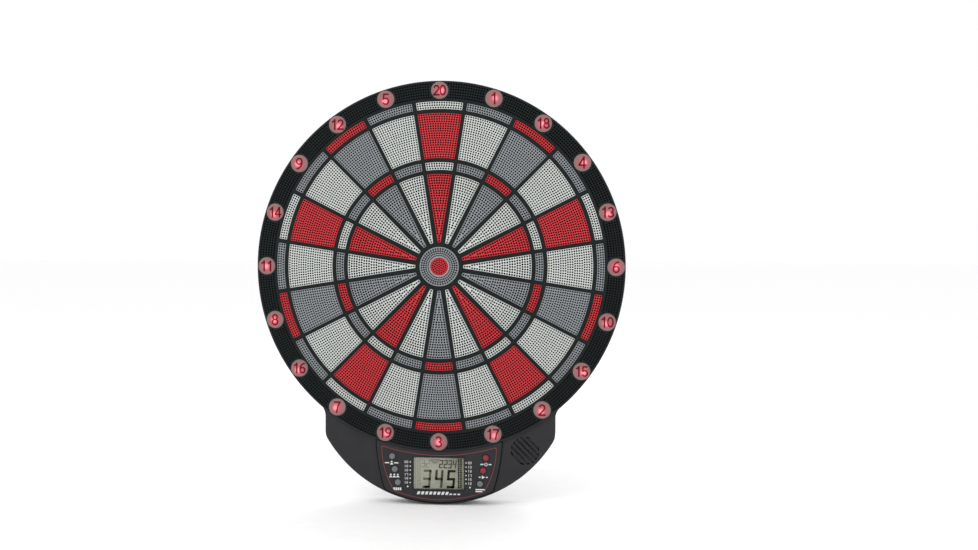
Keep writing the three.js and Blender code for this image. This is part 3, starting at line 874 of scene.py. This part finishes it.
def ribbon(path, width):
    """The outline of a stroke of constant width along a path."""
    left, right = [], []
    for i, here in enumerate(path):
        here = Vector(here)
        into = here - Vector(path[i - 1]) if i else Vector(path[1]) - here
        out = Vector(path[i + 1]) - here if i + 1 < len(path) else into
        along = (into.normalized() + out.normalized()).normalized()
        across = Vector((-along.y, along.x)) * width / 2 / max(0.5, along.dot(into.normalized()))
        left.append(tuple(here + across))
        right.append(tuple(here - across))
    return right + left[::-1]


def numeral(text, centre, height, pitch, stroke, rear, front):
    """The figures of one number as flat closed strokes."""
    shell = Shell()
    for i, figure in enumerate(text):
        middle = centre[0] + (i - (len(text) - 1) / 2) * pitch
        for level, path in enumerate(FIGURES[figure]):
            sized = [(middle + x * height, centre[1] + (z - 0.5) * height) for x, z in path]
            shell.prism(ribbon(sized, stroke), rear, front + 0.01 * level)
    return shell


def store_glow(mesh, shell, centre, spot):
    """Stores the light of a lamp behind spot at each point, fading towards the window's edge."""
    glow = mesh.attributes.new("glow", "FLOAT", "POINT")
    for i, (x, _, z) in enumerate(shell.points):
        away = (Vector((x, z)) - spot).length
        rim = (Vector((x, z)) - Vector(centre)).length / LENS_RADIUS
        glow.data[i].value = math.exp(-((away / 4.0) ** 2)) * 0.6 + 0.36 * (1 - rim**4)
    return mesh


def lens_mesh(number, centre, spot):
    """A number window: a flat face with a rounded edge."""
    rings = [(LENS_RADIUS, LENS_BAND_DEPTH[1]), (LENS_RADIUS, LENS_FRONT - 0.9)]
    rings += [(LENS_RADIUS - 0.25, LENS_FRONT - 0.35), (LENS_RADIUS - 0.9, LENS_FRONT - 0.05)]
    flat = [8.6, 7.6, 6.6, 5.6, 4.6, 3.6, 2.6, 1.7, 0.9]
    rings += [(radius, LENS_FRONT) for radius in flat]
    profile = [(0.0, LENS_BAND_DEPTH[1]), *rings, (0.0, LENS_FRONT)]
    shell = turned(profile, 48, centre)
    mesh = store_glow(shell.mesh(f"lens_{number:02d}"), shell, centre, spot)
    mesh.materials.append(MATERIALS["lens_edge"])
    for face in mesh.polygons:
        from_centre = Vector((face.center.x / MM, face.center.z / MM)) - Vector(centre)
        face.material_index = int(from_centre.length > LENS_RADIUS - 0.75)
    return mesh


def make_numbers():
    for k, number in enumerate(NUMBERS):
        centre = polar(NUMBER_PITCH_RADIUS, k * SECTOR)
        spot = Vector(centre) + Vector((random.uniform(-2.2, 2.6), random.uniform(-3.0, 0.6)))
        name = f"number_window_{number:02d}"
        place(name, lens_mesh(number, centre, spot), "lens", HOUSING,
              ["number_lens_ring"])
        height = 14.2 if number < 10 else 13.0
        digits = numeral(str(number), centre, height, 7.7, 1.75, LENS_FRONT - 0.1, LENS_FRONT + 0.2)
        mesh = store_glow(digits.mesh("numeral"), digits, centre, spot)
        place(f"number_print_{number:02d}", mesh, "digit", HOUSING)
    band = Shell()
    inner, outer = LENS_BAND
    steps = [(0, depth) for depth in LENS_BAND_DEPTH]
    band.hoop(lambda _: circle(outer, 120), lambda _: circle(inner, 120), steps)
    band.piece("number_window_band", "lens_edge", HOUSING, "lens_plastic", "number_lens_ring")


# ---- housing ----


def housing_outline(body_inset=0.0, pod_inset=0.0):
    """Round body, concave fillet, pod side, rounded corner and bottom arc, then the same mirrored."""
    body = BODY_RADIUS - body_inset
    fillet = POD_FILLET + pod_inset
    side = POD_HALF_WIDTH - pod_inset
    corner = POD_CORNER - pod_inset
    pod = POD_RADIUS - pod_inset
    fillet_x = side + fillet
    body_angle = math.pi - math.asin(fillet_x / (body + fillet))
    fillet_z = (body + fillet) * math.cos(body_angle)
    corner_x = side - corner
    pod_angle = math.pi - math.asin(corner_x / (pod - corner))
    corner_z = POD_CENTRE_Z + (pod - corner) * math.cos(pod_angle)
    half = arc(body, 0, body_angle, 72)
    half += arc(fillet, body_angle - math.pi, -math.pi / 2, 8, (fillet_x, fillet_z))[1:]
    half += arc(corner, math.pi / 2, pod_angle, 8, (corner_x, corner_z))
    half += arc(pod, pod_angle, math.pi, 36, (0, POD_CENTRE_Z))[1:]
    mirrored = [(-x, z) for x, z in half[1:-1]]
    return [half[0], *mirrored, half[-1], *reversed(half[1:-1])]


def display_outline(size, grow=0.0, corner=1.2):
    return rectangle(size[0] + 2 * grow, size[1] + 2 * grow, (0, DISPLAY_Z), corner)


def slot_outlines(grow=0.0):
    """Six slots where a set of slanting strips crosses the grille's circle."""
    slots = []
    radius = GRILLE_RADIUS + grow
    half = SLOT_WIDTH / 2 + grow
    cos, sin = math.cos(math.pi / 4), math.sin(math.pi / 4)
    for i in range(SLOTS):
        offset = (i - (SLOTS - 1) / 2) * SLOT_PITCH
        low, high = math.asin((offset - half) / radius), math.asin((offset + half) / radius)
        angles = [low + (high - low) * t / 4 for t in range(5)]
        right = [(radius * math.cos(angle), radius * math.sin(angle)) for angle in angles]
        level = right + [(-x, z) for x, z in reversed(right)]
        slots.append([
            (x * cos + z * sin + SPEAKER[0], -x * sin + z * cos + SPEAKER[1]) for x, z in level])
    return slots


def buttons():
    """Name, place and colour of each button."""
    for row, (x, z) in BUTTON_ROWS.items():
        yield f"button_left_{row}", (-x, z), "button_grey"
        yield f"button_right_{row}", (x, z), "button_grey" if row == "lower" else "button_red"


def button_holes(steps):
    """The outline of each button's opening, as a function of how far it is grown."""
    return [lambda grow, centre=centre: circle(BUTTON_RADIUS + 0.4 + grow, steps, centre)
            for _, centre, _ in buttons()]


def make_front_housing():
    shell = Shell()
    skin = [((0.45, 0.45), SEAM), ((0.0, 0.0), SEAM + 0.45), ((0.5, 0.1), 30.0)]
    skin += [((0.6, 0.45), 31.3), ((0.65, 1.1), 32.2), ((0.7, 2.3), FACE)]
    loops = shell.skirt(lambda insets: housing_outline(*insets), skin)
    rim = [(RIM_OUTER, FACE), (RIM_OUTER, RIM_FRONT - 0.3), (RIM_OUTER - 0.08, RIM_FRONT - 0.08)]
    rim += [(RIM_OUTER - 0.2, RIM_FRONT)]
    crest = shell.skirt(lambda radius: circle(radius, 240), rim)
    mouth = shell.tube(
        plate_outline(RIM_INNER, NUMBER_WINDOW, True), FACE_REAR, RIM_FRONT, inwards=True)
    shell.cap(crest[-1], [mouth[-1]])
    holes = [*button_holes(24), lambda grow: display_outline(SCREEN, grow + 0.3)]
    holes += [lambda grow, i=i: slot_outlines(grow)[i] for i in range(SLOTS)]
    front_holes, rear_holes = shell.pierce(holes, FACE, FACE_REAR, 0.3)
    shell.cap(loops[-1], [crest[0], *front_holes])
    cavity = shell.tube(housing_outline(1.0, WALL), SEAM, FACE_REAR, inwards=True)
    shell.cap(cavity[-1], [mouth[0], *rear_holes], rear=True)
    shell.cap(loops[0], [cavity[0]], rear=True)
    shell.piece("front_cover", "charcoal", HOUSING, "charcoal_plastic", "front_housing")


def keyhole_outline(x, grow=0.0):
    """A round hole with a narrower slot above it."""
    radius, slot = KEYHOLE["radius"] + grow, KEYHOLE["slot"] + grow
    shoulder = math.asin(slot / radius)
    centre = (x, KEYHOLE["z"])
    top = (x, KEYHOLE["z"] + KEYHOLE["rise"])
    return arc(radius, -shoulder, shoulder - 2 * math.pi, 20, centre) + arc(
        slot, math.pi / 2, -math.pi / 2, 8, top)


def sector_recess(k, grow=0.0):
    """One of the shallow fields between the rear's moulded ribs."""
    half = math.pi / FIELDS
    inner, outer = 66 - grow, 186 + grow
    rib = 4 - grow
    turn = (k + 0.5) * 2 * half
    inner_half = half - math.asin(rib / inner)
    outer_half = half - math.asin(rib / outer)
    top = arc(outer, turn + outer_half, turn - outer_half, 24)
    bottom = arc(inner, turn - inner_half, turn + inner_half, 10)
    return softened(top + bottom, 5.0)


def bay_outline(grow, corner):
    return rectangle(2 * (BAY["half_x"] + grow), 2 * (BAY["half_z"] + grow), (0.0, BAY["z"]), corner)


def screw_places():
    return [polar(SCREW_RADIUS, i * 2 * math.pi / SCREWS) for i in range(SCREWS)]


def make_rear_housing():
    shell = Shell()
    skin = [(1.8, 0.0), (0.7, 0.5), (0.1, 2.0), (0.0, SEAM - 0.75), (0.4, SEAM - 0.3)]
    loops = shell.skirt(lambda inset: housing_outline(inset, inset), skin)
    tray = shell.tube(housing_outline(WALL, WALL), WALL, SEAM - 0.3, inwards=True)
    shell.cap(loops[-1], [tray[-1]])
    well = [(4.2, 0.0), (3.9, 0.3), (3.9, 1.9)]
    rear_holes = [
        shell.recess(lambda radius: circle(radius, 28, centre), well) for centre in screw_places()]
    keyholes = {}
    for k, x in ((FIELDS - 1, -KEYHOLE["x"]), (0, KEYHOLE["x"])):
        steps = [(0.4, 0.8), (0.0, 1.2), (0.0, WALL)]
        keyholes[k] = shell.skirt(lambda grow: keyhole_outline(x, grow), steps, inwards=True)
    for k in range(FIELDS):
        holes = [keyholes[k][0]] if k in keyholes else []
        field = shell.recess(lambda grow: sector_recess(k, grow), [(0.6, 0.0), (0.0, 0.8)], holes)
        rear_holes.append(field)
    steps = [(0.5, 0.0), (0.0, 0.5), (0.0, BAY["front"])]
    rear_holes.append(shell.recess(lambda grow: bay_outline(grow, 0.8), steps))
    tub = shell.tube(bay_outline(BAY["wall"], 1.5), WALL, BAY["front"] + 1.5)
    shell.cap(tub[-1])
    shell.cap(loops[0], rear_holes, rear=True)
    shell.cap(tray[0], [*(keyhole[-1] for keyhole in keyholes.values()), tub[0]])
    shell.piece("rear_cover", "rear", HOUSING, "charcoal_plastic", "rear_housing")


def cross_outline(size, width, centre):
    """A cross recess for a screwdriver."""
    a, b = size / 2, width / 2
    points = [(b, -a), (b, -b), (a, -b), (a, b), (b, b), (b, a)]
    points += [(-b, a), (-b, b), (-a, b), (-a, -b), (-b, -b), (-b, -a)]
    return [(centre[0] + x, centre[1] + z) for x, z in points]


def make_screws():
    """Pan-head screws seen from behind: their heads face the wall."""
    for i, centre in enumerate(screw_places(), 1):
        shell = Shell()
        steps = [(2.5, 0.62), (3.0, 0.8), (3.3, 1.2), (3.3, 1.8)]
        head = shell.skirt(lambda radius: circle(radius, 32, centre), steps)
        steps = [((3.6, 0.8), 0.62), ((2.4, 0.5), 1.6)]
        cross = shell.recess(lambda size: cross_outline(*size, centre), steps)
        shell.close(head, [], [cross])
        shell.piece(f"rear_screw_head_{i}", "steel", HOUSING, "sheet_steel", f"rear_screw_{i}")


# ---- control panel ----


def fan_outline(top_radius, top_half, bottom_radius, bottom_half, bulge, inset=0.0, top_inset=None):
    """A panel between two arcs, with sides that curve in towards the bottom."""
    top_radius += inset if top_inset is None else top_inset
    bottom_radius -= inset
    top_half, bottom_half = top_half - inset, bottom_half - inset
    top_angle = math.asin(top_half / top_radius)
    bottom_angle = math.asin(bottom_half / bottom_radius)
    top = arc(top_radius, math.pi - top_angle, math.pi + top_angle, 32)
    bottom = arc(bottom_radius, math.pi + bottom_angle, math.pi - bottom_angle, 28, (0, PANEL_CENTRE_Z))

    def side(start, end, sign):
        middle = (sign * (bulge[0] - inset), bulge[1])
        points = []
        for i in range(1, 10):
            t = i / 10
            weights = ((1 - t) ** 2, 2 * t * (1 - t), t**2)
            pulls = zip(start, middle, end)
            points.append(tuple(sum(w * c for w, c in zip(weights, pull)) for pull in pulls))
        return points

    outline = top + side(top[-1], bottom[0], -1) + bottom + side(bottom[-1], top[0], 1)
    return softened(outline, 2.5)


PANEL_EDGE = (221.5, 77.0, 156.0, 66.0, (75.5, -240.0))
RED_LINE = (226.2, 69.5, 152.0, 54.8, (70.0, -243.0))
RED_LINE_WIDTH = 0.65


def make_panel():
    shell = Shell()
    shoulder = PANEL_FRONT - 0.8
    steps = [(1.2, PANEL_REAR), (1.2, FACE + 0.3), (0.0, FACE + 0.3), (0.0, shoulder - 0.15)]
    steps += [(0.15, shoulder), (1.15, shoulder)]
    steps += [(1.15, PANEL_FRONT - 0.35), (1.25, PANEL_FRONT - 0.1), (1.5, PANEL_FRONT)]
    loops = [shell.loop(fan_outline(*PANEL_EDGE, inset, inset / 4), depth) for inset, depth in steps]
    # The step under the front edge takes the second material, a band of painted shade standing in for a
    # shadow gap.
    for shell.look, part in ((0, loops[:5]), (1, loops[4:7]), (0, loops[6:])):
        shell.walls(part)
    front_holes, rear_holes = shell.pierce(button_holes(36), PANEL_FRONT, PANEL_REAR, 0.4)
    edge, back = shell.through(
        lambda grow: display_outline(WINDOW, grow + 0.3), PANEL_FRONT, PANEL_REAR, 0.2)
    shell.close(loops, [*front_holes, edge], [*rear_holes, back])
    shell.piece("panel_plate", "charcoal", HOUSING, "charcoal_plastic", "control_panel")
    line = Shell()
    steps = [(0, PANEL_FRONT - 0.1), (0, PANEL_FRONT + 0.05)]
    line.hoop(lambda _: fan_outline(*RED_LINE), lambda _: fan_outline(*RED_LINE, RED_LINE_WIDTH), steps)
    line.piece("panel_line", "print_red", HOUSING, "button_red")


def make_buttons():
    flange = [(0.0, 27.0), (4.7, 27.0), (4.7, 29.4), (BUTTON_RADIUS, 29.4)]
    crown = [(0.0, 0.9), (0.12, 0.5), (0.45, 0.2), (1.0, 0.07), (BUTTON_RADIUS - 1.2, 0.0)]
    profile = flange + [(BUTTON_RADIUS - inset, BUTTON_FRONT - drop) for inset, drop in crown]
    profile.append((0.0, BUTTON_FRONT))
    for name, centre, colour in buttons():
        turned(profile, 40, centre).piece(f"{name}_cap", colour, name, colour, name)


# ---- printed marks ----


class Marks:
    """Flat printed marks gathered into one piece."""

    def __init__(self, depth, thickness=0.05):
        self.shell = Shell()
        self.rear, self.front = depth - 0.03, depth + thickness

    def add(self, outline):
        self.shell.prism(outline, self.rear, self.front)

    def build(self, name, material, slot):
        return self.shell.piece(name, material, HOUSING, slot)


# Bars on a grid 2 wide and 4 high, and the bars of each digit of the display and the small scales.
BARS = {
    "left": (0, 0, 0, 4), "right": (2, 0, 2, 4), "middle": (1, 0, 1, 4),
    "top": (0, 4, 2, 4), "centre": (0, 2, 2, 2), "foot": (0, 0, 2, 0),
    "upper_left": (0, 2, 0, 4), "upper_right": (2, 2, 2, 4),
    "lower_left": (0, 0, 0, 2), "lower_right": (2, 0, 2, 2),
}
STROKES = {
    "0": "left right top foot",
    "1": "middle",
    "2": "top upper_right centre lower_left foot",
    "3": "top right centre foot",
    "4": "upper_left centre right",
    "5": "top upper_left centre lower_right foot",
    "6": "top left centre lower_right foot",
    "7": "top right",
    "8": "left right top centre foot",
    "9": "top upper_left centre right foot",
}


def digit(marks, figure, centre, width, height, stroke, slant=0.0, gap=0.0):
    """One figure made of straight bars, as on a calculator."""
    for x0, z0, x1, z1 in (BARS[name] for name in STROKES[figure].split()):
        pieces = 2 if z1 - z0 == 4 and gap else 1
        for part in range(pieces):
            low = z0 + (z1 - z0) * part / pieces
            high = z0 + (z1 - z0) * (part + 1) / pieces
            ends = []
            for x, z in ((x0, low), (x1, high)):
                up = (z / 4 - 0.5) * (height - stroke)
                ends.append((centre[0] + (x / 2 - 0.5) * (width - stroke) + slant * up, centre[1] + up))
            marks.add(bar(*ends, stroke, stroke / 2 - gap))


def bar(start, end, width, reach=0.0):
    """A straight bar with pointed-in corners, reaching past its two ends."""
    a, b = Vector(start), Vector(end)
    along = (b - a).normalized()
    across = Vector((-along.y, along.x)) * width / 2
    a, b = a - along * reach, b + along * reach
    return [tuple(a - across), tuple(b - across), tuple(b + across), tuple(a + across)]


def number_text(marks, text, centre, width, height, stroke):
    """Several figures side by side."""
    pitch = width + stroke * 0.9
    for i, figure in enumerate(text):
        at = (centre[0] + (i - (len(text) - 1) / 2) * pitch, centre[1])
        digit(marks, figure, at, width, height, stroke)


def ring_marks(marks, centre, radius, width, start=0.0, end=2 * math.pi, steps=16):
    """Part of a ring, as short bars end to end."""
    points = arc(radius, start, end, steps, centre)
    for a, b in zip(points, points[1:]):
        marks.add(bar(a, b, width))


def make_scales():
    """The figures beside the display that its columns of marks count against."""
    marks = Marks(PANEL_FRONT)
    values = ["20", "19", "18", "17", "16", "15"]
    rows = [-234.8, -239.9, -244.8, -249.9, -254.6, -259.6]
    for value, z in zip(values, rows):
        number_text(marks, value, (-39.4, z), 2.0, 2.9, 0.55)
        marks.add(circle(0.75, 12, (-34.6, z)))
        number_text(marks, value, (37.3, z), 2.0, 2.9, 0.55)
        marks.add(circle(0.75, 12, (32.8, z)))
    for x in (-37.6, 37.6):
        marks.add(circle(0.95, 14, (x, -264.4)))
    marks.build("panel_scales", "print_white", "segment_light")


def person(marks, centre):
    """A head and shoulders."""
    x, z = centre
    marks.add(circle(1.1, 14, (x, z + 1.25)))
    marks.add(arc(1.9, math.pi / 2, -math.pi / 2, 10, (x, z - 2.1)))


def dashes(marks, centre, near, far):
    """A dash on each side of a pictogram."""
    for sign in (-1, 1):
        marks.add(rectangle(far - near, 1.3, (centre[0] + sign * (near + far) / 2, centre[1])))


def make_icons():
    """A pictogram below each button in place of words."""
    marks = Marks(PANEL_FRONT)
    drop = 7.9
    left = {row: (-x - 0.6, z - drop) for row, (x, z) in BUTTON_ROWS.items()}
    right = {row: (x + 0.2, z - drop) for row, (x, z) in BUTTON_ROWS.items()}
    person(marks, left["top"])
    dashes(marks, left["top"], 3.0, 8.2)
    for offset in (-4.3, 0.0, 4.3):
        person(marks, (left["middle"][0] + offset, left["middle"][1]))
    x, z = left["lower"]
    for i in range(4):
        marks.add(rectangle(1.9, 3.2, (x - 3.9 + i * 2.6, z)))
    ring_marks(marks, right["top"], 1.7, 0.75, 0.7, 2 * math.pi - 0.7)
    x, z = right["top"]
    marks.add(rectangle(0.75, 2.0, (x, z + 1.3)))
    dashes(marks, right["top"], 3.2, 6.6)
    x, z = right["middle"]
    marks.add([(x - 1.7, z - 2.0), (x + 2.1, z), (x - 1.7, z + 2.0)])
    dashes(marks, right["middle"], 3.2, 5.4)
    x, z = right["lower"]
    marks.add(rectangle(11.0, 1.4, (x, z + 1.0)))
    marks.add(rectangle(8.0, 1.4, (x - 1.5, z - 1.3)))
    marks.build("panel_icons", "print_white", "segment_light")
    stripes = Marks(PANEL_FRONT)
    lean = 1.4
    for i in range(11):
        x = -26.6 + i * 4.9
        height = 3.6 if i < 8 else 1.6
        foot = -273.7
        top = x + lean * height / 3.6
        stripes.add([(x, foot), (x + 3.1, foot), (top + 3.1, foot + height), (top, foot + height)])
    stripes.build("panel_stripes", "print_white", "segment_light")


# ---- display ----


def make_display():
    sheet = depth_of("display_window", 1) - 0.1
    screen = Shell()
    screen.close(screen.skirt(
        lambda inset: display_outline(SCREEN, -inset, 0.6), rounded(24.5, sheet, 0.1)))
    screen.piece("liquid_crystal_screen", "lcd", HOUSING, "display", "display_module")
    carrier = Shell()
    carrier.prism(rectangle(70, 48, (0, DISPLAY_Z + 0.3), 1.0), 23.9, 29.4)
    carrier.piece("display_carrier", "black", HOUSING, "display", "display_module")

    def group(name, material, draw):
        marks = Marks(sheet, 0.04)
        draw(marks)
        marks.build(name, material, "display")

    def big(figure, x):
        at = (x, DISPLAY_Z - 6.9)
        return lambda marks: digit(marks, figure, at, 9.8, 22.2, 2.9, slant=0.08, gap=0.3)

    group("lcd_big_left", "lcd_soft", big("3", -14.6))
    group("lcd_big_middle", "lcd_mid", big("4", 0.0))
    group("lcd_big_right", "lcd_dark", big("5", 14.6))

    def small(marks):
        for i, figure in enumerate("2234"):
            digit(marks, figure, (2.6 + i * 5.4, DISPLAY_Z + 11.0), 4.4, 10.0, 1.35, slant=0.1, gap=0.1)

    def faint(marks):
        for i, figure in enumerate("32"):
            digit(marks, figure, (-19.0 + i * 5.5, DISPLAY_Z + 11.4), 4.2, 9.2, 0.9, slant=0.1, gap=0.1)
        marks.add(bow(-4.6, DISPLAY_Z + 17.2, 6.0, 6.0, 270, 90, 12)[::-1])
        for x in (-15.5, 14.0):
            marks.add(bow(x, DISPLAY_Z - 18.6, 3.4, 3.6, -90, 90, 12)[::-1])

    def ticks(xs, width):
        def draw(marks):
            for x in xs:
                for i in range(14):
                    z = DISPLAY_Z - 16.6 + i * 2.55
                    marks.add(rectangle(width, 2.1, (x, z)))
        return draw

    group("lcd_small", "lcd_mid", small)
    group("lcd_faint", "lcd_faint", faint)
    group("lcd_ticks_right", "lcd_dark", ticks((23.8, 26.5), 2.0))
    group("lcd_ticks_left", "lcd_faint", ticks((-28.0, -25.5, -23.0), 1.3))

    glass = Shell()
    glass.second = "charcoal"
    rear, front = depth_of("display_window", 1), depth_of("display_window", 0)
    steps = [(0.0, rear), (0.0, front - 0.15), (0.15, front)]
    loops = glass.skirt(lambda inset: display_outline(WINDOW, -inset, 1.0), steps)
    picture = glass.loop(display_outline(PICTURE, 0.0, 0.8), front)
    glass.cap(picture)
    glass.cap(loops[0], rear=True)
    glass.look = 1
    glass.cap(loops[-1], [picture])
    glass.piece("display_glass", "window", HOUSING, "clear_plastic", "display_window")


# ---- battery door, cells and contacts ----


def make_battery_door():
    low, high = (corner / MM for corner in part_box("battery_door"))
    width, height = high.x - low.x, high.z - low.z
    centre = (0.0, (high.z + low.z) / 2)
    shell = Shell()
    plate = shell.skirt(
        lambda inset: rectangle(width - 2 * inset, height - 2 * inset, centre, 1.0),
        [(0.4, 0.0), (0.0, 0.4), (0.0, -low.y)])
    holes = []
    for i in range(6):
        at = (0.0, low.z + 5.0 + i * 2.2)
        holes.append(shell.recess(
            lambda grow: rectangle(18 + 2 * grow, 1.0 + 2 * grow, at, 0.4), [(0.25, 0.0), (0.0, 0.5)]))
    arrow_z = low.z + 24
    arrow = [(0.0, -4.0), (4.5, 2.0), (-4.5, 2.0)]
    holes.append(shell.recess(
        lambda size: [(x * size, arrow_z + z * size) for x, z in arrow], [(1.0, 0.0), (0.86, 0.4)]))
    shell.close(plate, [], holes)
    shell.piece("battery_lid", "rear", "battery_door", "charcoal_plastic", "battery_door")


def make_cells():
    for i in range(1, 4):
        node = f"battery_cell_{i}"
        low, high = (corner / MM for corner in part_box(node))
        centre_z, depth = (low.z + high.z) / 2, -(low.y + high.y) / 2
        half, radius = (high.x - low.x) / 2, (high.z - low.z) / 2
        sign = 1 if i != 2 else -1
        profile = [(0.0, -half), (radius - 1.2, -half), (radius - 0.3, 0.3 - half), (radius, 1.0 - half)]
        profile += [(radius, half - 12.0), (radius, half - 2.0), (radius - 0.4, half - 1.4)]
        profile += [(3.0, half - 1.3), (2.7, half - 1.2), (2.7, half - 0.2), (2.4, half), (0.0, half)]
        shell = turned(profile, 40)
        mesh = shell.mesh(node)
        mesh.materials.append(MATERIALS["cell_band"])
        mesh.materials.append(MATERIALS["steel"])
        for face in mesh.polygons:
            along = -face.center.y / MM
            outward = math.hypot(face.center.x, face.center.z) / MM
            if outward < radius - 1.0:
                face.material_index = 2
            elif along > half - 12.5:
                face.material_index = 1
        lay = Matrix.Rotation(math.radians(90 * sign), 4, "Z")
        mesh.transform(lay)
        mesh.transform(Matrix.Translation(Vector((0, -depth, centre_z)) * MM))
        place(f"cell_{i}", mesh, "cell", HOUSING, [node])


def dress_cad_nodes():
    """Gives each CAD node that still shows its finished material."""
    looks = {
        "circuit": ["led_ring_board", "main_board"],
        "rubber": ["cushion_sheet", "keypad_mat_left", "keypad_mat_right"],
        "film": ["matrix_film_front", "matrix_film_rear"],
        "hardboard": ["backing_board"],
        "speaker": ["loudspeaker"],
        "black": ["power_inlet"],
        "steel": ["battery_contact_negative", "battery_contact_positive",
                  "battery_bridge_left", "battery_bridge_right"],
        "wire": ["speaker_lead", "battery_lead"],
    }
    for look, nodes in looks.items():
        for node in nodes:
            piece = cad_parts[node]
            if not piece.material_slots:
                piece.data.materials.append(None)
            for slot in piece.material_slots:
                slot.material = MATERIALS[look]


make_camera()
make_stage()
make_segments()
make_bulls()
make_spider()
make_numbers()
make_front_housing()
make_rear_housing()
make_screws()
make_panel()
make_buttons()
make_scales()
make_icons()
make_display()
make_battery_door()
make_cells()
dress_cad_nodes()
